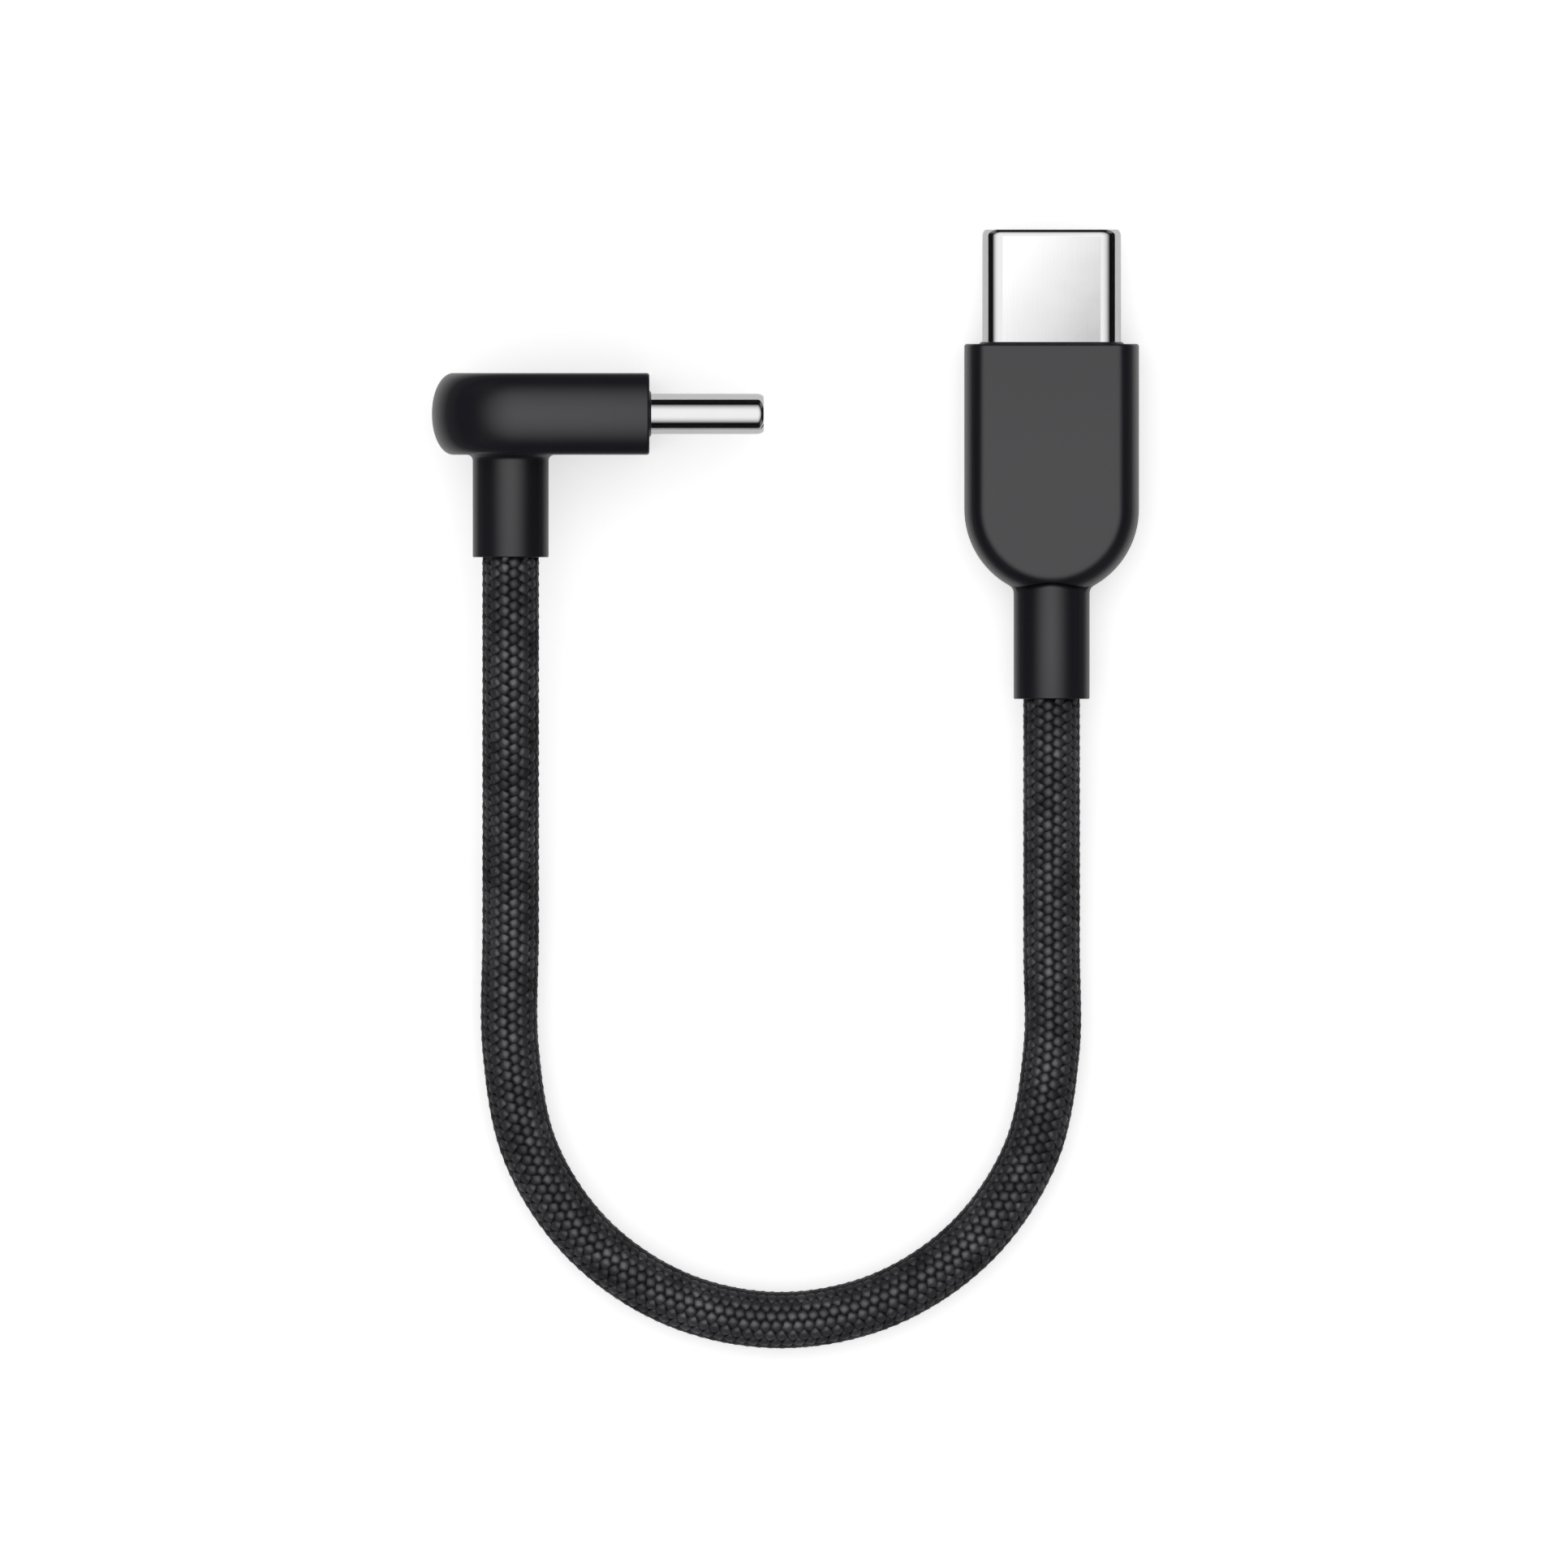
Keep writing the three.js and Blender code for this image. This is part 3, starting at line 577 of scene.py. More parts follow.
def flat_section(tree, sizes):
    """The yarn's outline, and how far across the yarn each corner of it is."""
    circle = add_node(
        tree, "GeometryNodeCurvePrimitiveCircle", {"Resolution": sizes["Section corners"], "Radius": 1.0}
    )
    corner = add_node(tree, "GeometryNodeInputPosition").outputs[0]
    section = add_node(tree, "GeometryNodeCaptureAttribute", domain="POINT")
    section.capture_items.new("FLOAT", "Sideways")
    tree.links.new(circle.outputs["Curve"], section.inputs["Geometry"])
    tree.links.new(split_axes(tree, corner)["Y"], section.inputs["Sideways"])
    half_sizes = join_axes(
        tree,
        calculate(tree, "MULTIPLY", sizes["Yarn thickness"], 0.5),
        calculate(tree, "MULTIPLY", sizes["Yarn width"], 0.5),
    )
    shaped = add_node(
        tree,
        "GeometryNodeSetPosition",
        {
            "Geometry": section.outputs["Geometry"],
            "Position": combine_vectors(tree, "MULTIPLY", corner, half_sizes),
        },
    )
    return shaped.outputs[0], section.outputs["Sideways"]


# %% Sleeve, step 4: the yarns' surface


def remember(tree, geometry, values):
    """Keeps a number by name on every point of a line."""
    kept = add_node(tree, "GeometryNodeCaptureAttribute", domain="POINT")
    for label in values:
        kept.capture_items.new("FLOAT", label)
    for label, value in values.items():
        tree.links.new(value, kept.inputs[label])
    tree.links.new(geometry, kept.inputs["Geometry"])
    return kept.outputs


def draw_yarns(tree, sizes, lines, run, tone, fullness):
    """The yarns' surface, with on_yarn stored and the finish set."""
    kept = remember(tree, lines, {"Tone": tone, "Fullness": fullness})
    section, sideways = flat_section(tree, sizes)
    drawn = add_node(
        tree,
        "GeometryNodeCurveToMesh",
        {"Curve": kept["Geometry"], "Profile Curve": section, "Scale": kept["Fullness"], "Fill Caps": True},
    )
    smooth = add_node(tree, "GeometryNodeSetShadeSmooth", {"Geometry": drawn.outputs[0]})
    on_yarn = join_axes(tree, calculate(tree, "DIVIDE", run, MM), sideways, kept["Tone"])
    stored = add_node(
        tree,
        "GeometryNodeStoreNamedAttribute",
        {"Geometry": smooth.outputs[0], "Name": "on_yarn", "Value": on_yarn},
        data_type="FLOAT_VECTOR",
        domain="POINT",
    )
    real = add_node(tree, "GeometryNodeRealizeInstances", {"Geometry": stored.outputs[0]})
    finished = add_node(
        tree, "GeometryNodeSetMaterial", {"Geometry": real.outputs[0], "Material": sizes["Finish"]}
    )
    return finished.outputs[0]


# %% Sleeve: the whole tree
LAY_INPUTS = {
    "Route": ("NodeSocketGeometry", None),
    "Yarns": ("NodeSocketInt", 8),
    "Every": ("NodeSocketInt", 1),
    "First yarn": ("NodeSocketInt", 0),
    "Points per yarn": ("NodeSocketInt", 1600),
    "Section corners": ("NodeSocketInt", 8),
    "Turn length": ("NodeSocketFloat", 5.08 * MM),
    "Hand": ("NodeSocketFloat", 1.0),
    "Middle radius": ("NodeSocketFloat", 1.45 * MM),
    "Swing": ("NodeSocketFloat", 0.1 * MM),
    "Yarn width": ("NodeSocketFloat", 0.5 * MM),
    "Yarn thickness": ("NodeSocketFloat", 0.2 * MM),
    "Squeezed to": ("NodeSocketFloat", 0.74),
    "Column shift": ("NodeSocketFloat", -0.04),
    "Looseness": ("NodeSocketFloat", 0.03 * MM),
    "Seed": ("NodeSocketInt", 0),
    "Finish": ("NodeSocketMaterial", None),
}


def make_lay_tree():
    tree, given, result = open_group(
        "lay_of_yarns", "GeometryNodeTree", LAY_INPUTS, {"Lay": "NodeSocketGeometry"}
    )
    sizes = given.outputs
    lines, number, kept = follow_route(tree, sizes)
    wander = wander_of(tree, sizes, number, kept["Middle"])
    turns = calculate(tree, "DIVIDE", kept["Run"], sizes["Turn length"])
    swings = calculate(tree, "MULTIPLY", turns, sizes["Yarns"])
    angle = angle_of(tree, sizes, number, turns, wander)
    wave = wave_of(tree, sizes, swings)
    radius = calculate(tree, "MULTIPLY_ADD", wave, sizes["Swing"], sizes["Middle radius"])
    radius = calculate(tree, "ADD", radius, wander)
    outward, position = place_on_cord(tree, sizes, angle, radius, kept["Middle"], kept["Direction"])
    placed = add_node(tree, "GeometryNodeSetPosition", {"Geometry": lines, "Position": position})
    faced = add_node(
        tree, "GeometryNodeSetCurveNormal", {"Curve": placed.outputs[0], "Normal": outward}, mode="FREE"
    )
    tone = float_tone_and_dip_shade_of(tree, sizes, number, swings, wave, position)
    fullness = between(tree, wave, sizes["Squeezed to"], 1.0, *FULLNESS_RANGE, smooth=True)
    drawn = draw_yarns(tree, sizes, faced.outputs[0], kept["Run"], tone, fullness)
    tree.links.new(drawn, result.inputs["Lay"])
    return tree


lay_tree = make_lay_tree()
print("the lay tree has", len(lay_tree.nodes), "nodes")

# %% [markdown]
# ## The yarn's finish
#
# The yarn is black textured polyester: a bundle of fine filaments that shine weakly along their sides.
# The stored place on the yarn lets the filaments run along it round every bend. A little sheen stands
# for the loose fibres. A float's tone, which is highest on its crest, drives its colour, its roughness
# and its gloss together: the crest is paler, smoother and shinier than the ends. The darker colour at
# the ends is painted shade, where the yarn dives under the other lay.

# %% Material of the yarn
# The dark colour below is the yarn's own, and also the painted shade at the floats' ends.
YARN_DARK_AND_DIP_SHADE = grey(0.003, 0.15)
YARN_LIGHT = grey(0.042, 0.15)
YARN_ROUGHNESS = 0.36
ROUGHER_IN_DIP = 0.12
SMOOTHER_ON_TOP = 0.06
FIBRE_SPREAD = 0.06
YARN_IOR = 1.8
YARN_SHEEN = (0.02, 0.4)
YARN_LEAST_GLOSS = 0.06
YARN_GLOSS_FADES_BY = 0.36
GLOSS_IN_DIP = 0.35
GLOSS_ON_TOP = 1.3
FILAMENT_DEPTH_MM = 0.01
FILAMENTS_ALONG = 1.2
FILAMENT_TWIST = 0.8
FILAMENTS_ACROSS = 5.0
FILAMENT_NOISE = 1.6
TONE_AND_DIP_SHADE_SHARE = 0.75
FIBRE_SHARE = 0.3


def make_filaments(tree, place):
    """A noise stretched along the yarn and twisted a little, as its filaments are."""
    across = calculate(tree, "MULTIPLY", place["Y"], FILAMENTS_ACROSS)
    twisted = calculate(tree, "MULTIPLY_ADD", place["X"], FILAMENT_TWIST, across)
    along = calculate(tree, "MULTIPLY", place["X"], FILAMENTS_ALONG)
    stretched = join_axes(tree, along, twisted, place["Z"])
    return add_noise(tree, stretched, FILAMENT_NOISE, 2.0, Roughness=0.55)


def make_yarn_finish():
    material, tree, shader = start_material("braid_yarn")
    on_yarn = add_node(tree, "ShaderNodeAttribute", attribute_name="on_yarn").outputs["Vector"]
    place = split_axes(tree, on_yarn)
    tone = place["Z"]
    fibres = make_filaments(tree, place)
    # Through the tone, the colour turns dark at each float's ends: painted shade where the yarn dives under.
    pale = calculate(tree, "MULTIPLY_ADD", tone, TONE_AND_DIP_SHADE_SHARE, calculate(tree, "MULTIPLY", fibres, FIBRE_SHARE))
    tree.links.new(blend_colours(tree, pale, YARN_DARK_AND_DIP_SHADE, YARN_LIGHT), shader.inputs["Base Color"])
    spread = between(tree, tone, YARN_ROUGHNESS + ROUGHER_IN_DIP, YARN_ROUGHNESS - SMOOTHER_ON_TOP)
    rough = calculate(tree, "ADD", spread, between(tree, fibres, -FIBRE_SPREAD, FIBRE_SPREAD))
    tree.links.new(rough, shader.inputs["Roughness"])
    shader.inputs["IOR"].default_value = YARN_IOR
    shader.inputs["Sheen Weight"].default_value = YARN_SHEEN[0]
    shader.inputs["Sheen Roughness"].default_value = YARN_SHEEN[1]
    on_top = between(tree, tone, GLOSS_IN_DIP, GLOSS_ON_TOP)
    fade_gloss(tree, shader, YARN_LEAST_GLOSS, YARN_GLOSS_FADES_BY, whole=on_top)
    add_bump(tree, shader, fibres, FILAMENT_DEPTH_MM)
    return material


yarn_finish = make_yarn_finish()
print("finish:", yarn_finish.name, "with", len(yarn_finish.node_tree.nodes), "nodes")

# %% [markdown]
# A modifier's inputs are found by their identifiers, which never change, and are set before the object
# is first evaluated. The evaluated result is then copied into a plain mesh, and the carrier with its
# modifier is thrown away. Each lay is made as two pieces, which hold every second yarn.

# %% Sizes of the weave
TURN_LENGTH_MM = 5.08
YARNS_PER_LAY = 8
PIECES_PER_LAY = 2
POINTS_PER_CROSSING = 6
SLEEVE_RADIUS_MM = 1.71
YARN_THICKNESS_MM = 0.24
YARN_SWING_MM = 0.105
YARN_WIDTH_MM = 0.64

crossings = length_of(sleeve_line) / (TURN_LENGTH_MM / (2 * YARNS_PER_LAY))
print("each yarn crosses the other lay", round(crossings), "times")

# %% Weave both lays


def run_tree(name, tree, mesh, values):
    """What a geometry node tree makes of a mesh, as a plain mesh."""
    carrier = bpy.data.objects.new(name, mesh)
    scene.collection.objects.link(carrier)
    modifier = carrier.modifiers.new(tree.name, "NODES")
    modifier.node_group = tree
    for item in tree.interface.items_tree:
        if item.item_type == "SOCKET" and item.in_out == "INPUT" and item.name in values:
            modifier[item.identifier] = values[item.name]
    made = bpy.data.meshes.new_from_object(carrier.evaluated_get(bpy.context.evaluated_depsgraph_get()))
    made.name = name
    bpy.data.objects.remove(carrier)
    return made


def line_mesh(line):
    mesh = bpy.data.meshes.new("route")
    mesh.from_pydata([point * MM for point in line], [(i, i + 1) for i in range(len(line) - 1)], [])
    return mesh


def weave(name, hand, seed, first):
    return run_tree(
        name,
        lay_tree,
        line_mesh(sleeve_line),
        {
            "Yarns": YARNS_PER_LAY,
            "Every": PIECES_PER_LAY,
            "First yarn": first,
            "Points per yarn": round(crossings * POINTS_PER_CROSSING),
            "Turn length": TURN_LENGTH_MM * MM,
            "Hand": hand,
            "Middle radius": (SLEEVE_RADIUS_MM - YARN_SWING_MM - YARN_THICKNESS_MM / 2) * MM,
            "Swing": YARN_SWING_MM * MM,
            "Yarn width": YARN_WIDTH_MM * MM,
            "Yarn thickness": YARN_THICKNESS_MM * MM,
            "Seed": seed,
            "Finish": yarn_finish,
        },
    )


for side, hand, seed in (("right", 1.0, 3), ("left", -1.0, 8)):
    for first in range(PIECES_PER_LAY):
        lay_mesh = weave(f"cord_sleeve_{side}_lay_{first + 1}", hand, seed, first)
        settle(lay_mesh, None, ["cord_braided_sleeve"])

# %% [markdown]
# ## Under the sleeve
#
# The yarns lie on a rubber jacket, which shows as a dark ground where they part. Inside it are a
# shielding layer and five insulated wires. Each is a plain tube along the same route, so a ring of
# points is set square to the line at each of its points.

# %% Jacket and shielding layer
JACKET_SIDES = 32
JACKET_RADII_MM = (1.33, 1.13)
SHIELDING_RADII_MM = (1.08, 1.0)
UP = Vector((0, 0, 1))


def round_about(line, radius, sides, height=0.0, beside=0.0):
    """Rings of points about a line, shifted in each section by a height and a distance beside."""
    rings = []
    for i, point in enumerate(line):
        direction = (line[min(i + 1, len(line) - 1)] - line[max(i - 1, 0)]).normalized()
        across = UP.cross(direction).normalized()
        lower = across.cross(direction)
        centre = point + lower * height + across * beside
        rings.append(
            [
                centre + radius * (lower * math.cos(turn) + across * math.sin(turn))
                for turn in (math.tau * side / sides for side in range(sides))
            ]
        )
    return rings


def tube(name, line, radii, sides):
    """A hollow tube along a line, from its outer and inner radius."""
    outer, inner = (round_about(line, radius, sides) for radius in radii)
    return soften(skin(name, outer + inner[::-1], looped=True))


jacket_finish = make_plastic("jacket_rubber", grey(0.006), grey(0.011), roughness=0.6, grains_per_mm=9.0)
foil_finish = make_metal("shielding_foil", grey(0.45), grey(0.6), roughness=0.35, lines=(1.0, 1.0, 1.0))
jacket_mesh = tube("cord_inner_jacket", jacket_line, JACKET_RADII_MM, JACKET_SIDES)
jacket = settle(jacket_mesh, jacket_finish, ["cord_jacket"])
foil_mesh = tube("cord_foil_layer", jacket_line, SHIELDING_RADII_MM, JACKET_SIDES)
shielding = settle(foil_mesh, foil_finish, ["cord_shield_layer"])

# %% Wires: height and place beside the middle, slot, and two near colours
WIRE_SIDES = 12
WIRE_RADIUS_MM = 0.2
WIRES = {
    "power_wire": (-0.48, 0.25, "wire_red", (0.38, 0.012, 0.012), (0.5, 0.02, 0.02)),
    "ground_wire": (-0.48, -0.25, "wire_black", grey(0.01), grey(0.02)),
    "data_plus_wire": (0.48, 0.45, "wire_green", (0.02, 0.2, 0.04), (0.03, 0.27, 0.06)),
    "config_wire": (0.48, 0.0, "wire_blue", (0.02, 0.06, 0.38), (0.03, 0.09, 0.48)),
    "data_minus_wire": (0.48, -0.45, "wire_white", grey(0.7), grey(0.8)),
}
wire_line = [Vector(ANGLED_WIRE_END_MM), *jacket_line, Vector(STRAIGHT_WIRE_END_MM)]
for wire_name, (height, beside, wire_slot, dark, light) in WIRES.items():
    rings = round_about(wire_line, WIRE_RADIUS_MM, WIRE_SIDES, height, beside)
    wire_mesh = soften(skin(f"cord_inner_{wire_name}", rings))
    finish = make_plastic(f"insulation_of_{wire_name}", dark, light, roughness=0.45, grains_per_mm=9.0)
    settle(wire_mesh, finish, [f"cord_{wire_name}"])

# %% [markdown]
# ## Where the plugs are
#
# Each plug is described in a frame of its own, with the middle of the body's front face at zero, +Y the
# way it goes into a socket and Z through its thickness. A matrix takes that frame to the plug's place.
# A second matrix does the same for the frame of the cord's exit, whose +Y runs out along the cord.

# %% Frames of the two plugs
BODY_WIDTH_MM = 10.4
BODY_THICKNESS_MM = 4.87
PLUG_PLACE = {
    "straight": Matrix.Translation((15.83, 7.15, BODY_THICKNESS_MM / 2)),
    "angled": Matrix.Translation((-8.11, 2.98, BODY_WIDTH_MM / 2))
    @ Matrix(((0, 1, 0, 0), (0, 0, 1, 0), (1, 0, 0, 0), (0, 0, 0, 1))),
}
EXIT_PLACE = {
    "straight": Matrix.Translation((0, -10.4, 0)) @ Matrix.Rotation(math.pi, 4, "X"),
    "angled": Matrix.Translation((0, -8.26, -1.4)) @ Matrix.Rotation(-math.pi / 2, 4, "X"),
}
print("front faces at", {plug: tuple(place.translation) for plug, place in PLUG_PLACE.items()})

# %% [markdown]
# ## The metal shells
#
# A shell is a seamless tube of stainless steel with a nickel finish, drawn to a flat oval. Its front rim
# turns in a little, so that it finds the socket. The oval is two straight sides and two half circles.
# An extra point close to each end of a straight side holds the flat faces flat, because smooth shading
# would otherwise spread the first bend over the whole face, and a mirror shows that at once.

# %% Outline and rings of a shell
SHELL_WIDTH_MM = 8.25
SHELL_THICKNESS_MM = 2.4
SHELL_WALL_MM = 0.2
SHELL_TIP_MM = 6.8
SHELL_TAIL_MM = -3.4
SHELL_SIDE_STEPS = 28
RIM_RADIUS_MM = 0.52
RIM_TURN = math.radians(45)
RIM_STEPS = 8
RIM_FLAT_MM = 0.015
INNER_EDGE_MM = (0.12, 0.04)
INNER_EDGE_DEPTH_MM = 0.06
HOLD_MM = 0.04


def oval(width, thickness, y, steps=SHELL_SIDE_STEPS):
    """Outline of the shell, across X and Z, at a distance y."""
    radius = thickness / 2
    centre = width / 2 - radius
    points = []
    for side in (1, -1):
        held = side * (centre - HOLD_MM)
        points += [(-held, y, -side * radius), (held, y, -side * radius)]
        for step in range(steps + 1):
            turn = math.pi * (step / steps - 0.5)
            points.append((side * (centre + radius * math.cos(turn)), y, side * radius * math.sin(turn)))
    return points


def shell_rings():
    """From the tail along the outside to the rim, round it, and back along the inside."""

    def ring(y, inset):
        return oval(SHELL_WIDTH_MM - 2 * inset, SHELL_THICKNESS_MM - 2 * inset, y)

    straight_end = SHELL_TIP_MM - RIM_RADIUS_MM * math.sin(RIM_TURN)
    rings = [ring(SHELL_TAIL_MM, 0), ring(0, 0), ring(straight_end - HOLD_MM, 0)]
    for step in range(RIM_STEPS + 1):
        turn = RIM_TURN * step / RIM_STEPS
        inset = RIM_RADIUS_MM * (1 - math.cos(turn))
        rings.append(ring(straight_end + RIM_RADIUS_MM * math.sin(turn), inset))
    rings.append(ring(SHELL_TIP_MM, inset + RIM_FLAT_MM))
    rings.append(ring(SHELL_TIP_MM, SHELL_WALL_MM + INNER_EDGE_MM[0]))
    rings.append(ring(SHELL_TIP_MM - INNER_EDGE_DEPTH_MM, SHELL_WALL_MM + INNER_EDGE_MM[1]))
    return [*rings, ring(straight_end, SHELL_WALL_MM), ring(SHELL_TAIL_MM, SHELL_WALL_MM)]


# %% Shells
NICKEL_DARK = grey(0.58, 0.004)
NICKEL_LIGHT = grey(0.62, 0.004)
NICKEL_ROUGHNESS = 0.055
NICKEL_LINE_DEPTH_MM = 0.00007
SHELL_CREASE_DEGREES = 40

for plug, place in PLUG_PLACE.items():
    nickel = make_metal(
        f"nickel_of_{plug}_shell",
        NICKEL_DARK,
        NICKEL_LIGHT,
        NICKEL_ROUGHNESS,
        LINES_OF[plug],
        depth_mm=NICKEL_LINE_DEPTH_MM,
    )
    shell_mesh = skin(f"{plug}_plug_shell", shell_rings(), looped=True, place=place)
    settle(soften(shell_mesh, SHELL_CREASE_DEGREES), nickel, [f"{plug}_shell"])

# %% [markdown]
# ## The moulded bodies
#
# A body is flat above and below. Its two long sides and its back are rounded with half an ellipse, and
# its front is a flat face with a slightly softened edge. It is built as outlines stacked from the top to
# the bottom, each set in by the ellipse. The room for the shell, for the case inside and for the strain
# relief is then cut out with the exact boolean, the way the cavity pins of a mould leave it.

# %% Block of a body
CROWN_MM = 1.28
TOP_HOLD_MM = 0.3
BAND_MM = 0.1
CROWN_STEPS = 20
BACK_STEPS = 48
FRONT_EDGE_MM = 0.16
FRONT_EDGE_STEPS = 4
BODY_LENGTH_MM = {"straight": 15.04, "angled": 12.95}


def plan(length, z, inset):
    """Outline of the body at a height, from the front left round the back to the front right."""
    half = BODY_WIDTH_MM / 2
    centre = half - length
    reach = half - inset
    points = [(-reach, 0.0, z), (-reach, centre + HOLD_MM, z)]
    for step in range(BACK_STEPS + 1):
        turn = math.pi * step / BACK_STEPS
        points.append((-reach * math.cos(turn), centre - reach * math.sin(turn), z))
    return [*points, (reach, centre + HOLD_MM, z), (reach, 0.0, z)]


def body_levels(length):
    """The stacked outlines from the top to the bottom."""
    flat = BODY_THICKNESS_MM / 2
    rise = flat - BAND_MM / 2
    upper = [plan(length, flat, CROWN_MM + TOP_HOLD_MM)]
    for step in range(CROWN_STEPS + 1):
        turn = math.pi / 2 * step / CROWN_STEPS
        upper.append(plan(length, BAND_MM / 2 + rise * math.cos(turn), CROWN_MM * (1 - math.sin(turn))))
    return upper + [[(x, y, -z) for x, y, z in level] for level in upper[::-1]]


def body_block(name, length, place):
    """The body before anything is cut out of it, with a bevelled front edge."""
    built, rows = start_mesh(body_levels(length), place)
    for row, following in zip(rows, rows[1:]):
        for here in range(len(row) - 1):
            built.faces.new((row[here], row[here + 1], following[here + 1], following[here]))
    built.faces.new(rows[0])
    built.faces.new(rows[-1])
    front = built.faces.new([row[0] for row in rows] + [row[-1] for row in rows[::-1]])
    bmesh.ops.recalc_face_normals(built, faces=built.faces)
    bmesh.ops.bevel(
        built,
        geom=list(front.edges),
        offset=FRONT_EDGE_MM * MM,
        segments=FRONT_EDGE_STEPS,
        profile=0.5,
        affect="EDGES",
        clamp_overlap=True,
    )
    return end_mesh(built, name)


# %% Room in the bodies
GAP_MM = 0.05
OVERLAP_MM = 0.1
SHIELD_BACK_MM = {"straight": 10.4, "angled": 10.1}
SHELL_OPENING_MM = (8.35, 2.5)
OPENING_FRONT_MM = 1.0
CASE_ROOM_MM = (8.75, 2.9)
CASE_FRONT_MM = -2.35
FLANGE_RADIUS_MM = 2.2
FLANGE_SPAN_MM = (0.15, 0.55)
NECK_RADIUS_MM = 1.95
RELIEF_RADIUS_MM = 2.26
RELIEF_END_MM = {"straight": 10.74, "angled": 7.135}
RELIEF_SEAT_MM = {"straight": 3.5, "angled": 1.085}
TURNED_SIDES = 96


def circles(profile, sides=TURNED_SIDES):
    """Rings of a turned part, from pairs of radius and distance along its axis, +Y."""
    return [
        [
            (radius * math.sin(math.tau * side / sides), along, radius * math.cos(math.tau * side / sides))
            for side in range(sides)
        ]
        for radius, along in profile
    ]


def seat_profile(plug):
    """Room in the body for the relief's flange and neck, and for its full width where it is sunk."""
    seat, end = RELIEF_SEAT_MM[plug], RELIEF_END_MM[plug]
    flange = FLANGE_RADIUS_MM + GAP_MM
    flange_end = FLANGE_SPAN_MM[1] + GAP_MM
    neck = NECK_RADIUS_MM + GAP_MM
    steps = [(flange, -GAP_MM), (flange, flange_end), (neck, flange_end)]
    if plug == "angled":
        return [*steps, (neck, end)]
    sunk = RELIEF_RADIUS_MM + GAP_MM
    return [*steps, (neck, seat - GAP_MM), (sunk, seat - GAP_MM), (sunk, end)]


def room_cutters(plug, place):
    """Closed meshes that fill the places of the shell, of the case and of the relief."""
    behind = CASE_FRONT_MM - OVERLAP_MM
    back = -SHIELD_BACK_MM[plug] - GAP_MM
    opening = [oval(*SHELL_OPENING_MM, OPENING_FRONT_MM), oval(*SHELL_OPENING_MM, behind)]
    case = [oval(*CASE_ROOM_MM, CASE_FRONT_MM), oval(*CASE_ROOM_MM, back)]
    return [
        skin("opening", opening, place=place),
        skin("room", case, place=place),
        skin("seat", circles(seat_profile(plug)), place=place @ EXIT_PLACE[plug]),
    ]


# %% Cut the room out of a body


def carve(mesh, cutters):
    """Cuts the closed cutter meshes out of a mesh."""
    block = bpy.data.objects.new("block", mesh)
    scene.collection.objects.link(block)
    tools = []
    for cutter in cutters:
        tool = bpy.data.objects.new("cutter", cutter)
        scene.collection.objects.link(tool)
        cutting = block.modifiers.new("cut", "BOOLEAN")
        cutting.operation = "DIFFERENCE"
        cutting.solver = "EXACT"
        cutting.object = tool
        tools.append(tool)
    bpy.context.view_layer.update()
    carved = bpy.data.meshes.new_from_object(block.evaluated_get(bpy.context.evaluated_depsgraph_get()))
    name = mesh.name
    for used in (block, *tools):
        bpy.data.objects.remove(used)
    for used in (mesh, *cutters):
        bpy.data.meshes.remove(used)
    carved.name = name
    return carved


# %% [markdown]
# Where the shell leaves the body, the picture shows a thin dark line. On such a plug the plastic climbs
# a tenth of a millimetre up the shell there, as a fine moulded lip. It is a small ring of its own, whose
# section gets narrower towards the shell.

# %% Bodies and lips
BODY_DARK = grey(0.007, 0.4)
BODY_LIGHT = grey(0.0105, 0.4)
BODY_ROUGHNESS = 0.34
BODY_IOR = 1.62
LIP_PROFILE_MM = [(0.38, -0.06), (0.38, 0.0), (0.28, 0.06), (0.15, 0.1), (0.02, 0.11), (0.02, -0.06)]


def make_case_plastic(name):
    return make_plastic(name, BODY_DARK, BODY_LIGHT, BODY_ROUGHNESS, ior=BODY_IOR, matt=True)


body_plastic = make_case_plastic("moulded_body_plastic")
for plug, place in PLUG_PLACE.items():
    block_mesh = body_block(f"{plug}_plug_body", BODY_LENGTH_MM[plug], place)
    body_mesh = soften(carve(block_mesh, room_cutters(plug, place)))
    settle(body_mesh, body_plastic, [f"{plug}_body"])
    lip_rings = [oval(SHELL_WIDTH_MM + wider, SHELL_THICKNESS_MM + wider, y) for wider, y in LIP_PROFILE_MM]
    lip_mesh = soften(skin(f"{plug}_plug_lip", lip_rings, looped=True, place=place))
    settle(lip_mesh, body_plastic)

# %% [markdown]
# ## The strain reliefs
#
# A relief is a softer sleeve that keeps the cord from bending sharply at the body. A flange and neck
# hold it inside the body. Outside it is a plain cylinder with a small hollow rounding at its root. On
# the right-angle plug it stands on a flat face, so it is simply turned.

# %% Relief of the right-angle plug
ROOT_ROUNDING_MM = 0.35
ROOT_STEPS = 6
END_EDGE_MM = 0.07
END_EDGE_STEPS = 3
FERRULE_ROOM_MM = (1.71, 2.05)
CORD_BORE_MM = 1.47
MOUTH_MM = (1.55, 0.08)


def rounded_end(end):
    """Outer edge of the relief's end face."""
    turns = [math.pi / 2 * step / END_EDGE_STEPS for step in range(END_EDGE_STEPS + 1)]
    return [
        (RELIEF_RADIUS_MM - END_EDGE_MM * (1 - math.cos(turn)), end - END_EDGE_MM * (1 - math.sin(turn)))
        for turn in turns
    ]


def inner_profile(end):
    """The widened mouth, the bore round the cord, and the room of the ferrule."""
    mouth_radius, mouth_depth = MOUTH_MM
    room_radius, room_end = FERRULE_ROOM_MM
    mouth = [(mouth_radius, end), (CORD_BORE_MM, end - mouth_depth)]
    return [*mouth, (CORD_BORE_MM, room_end), (room_radius, room_end)]


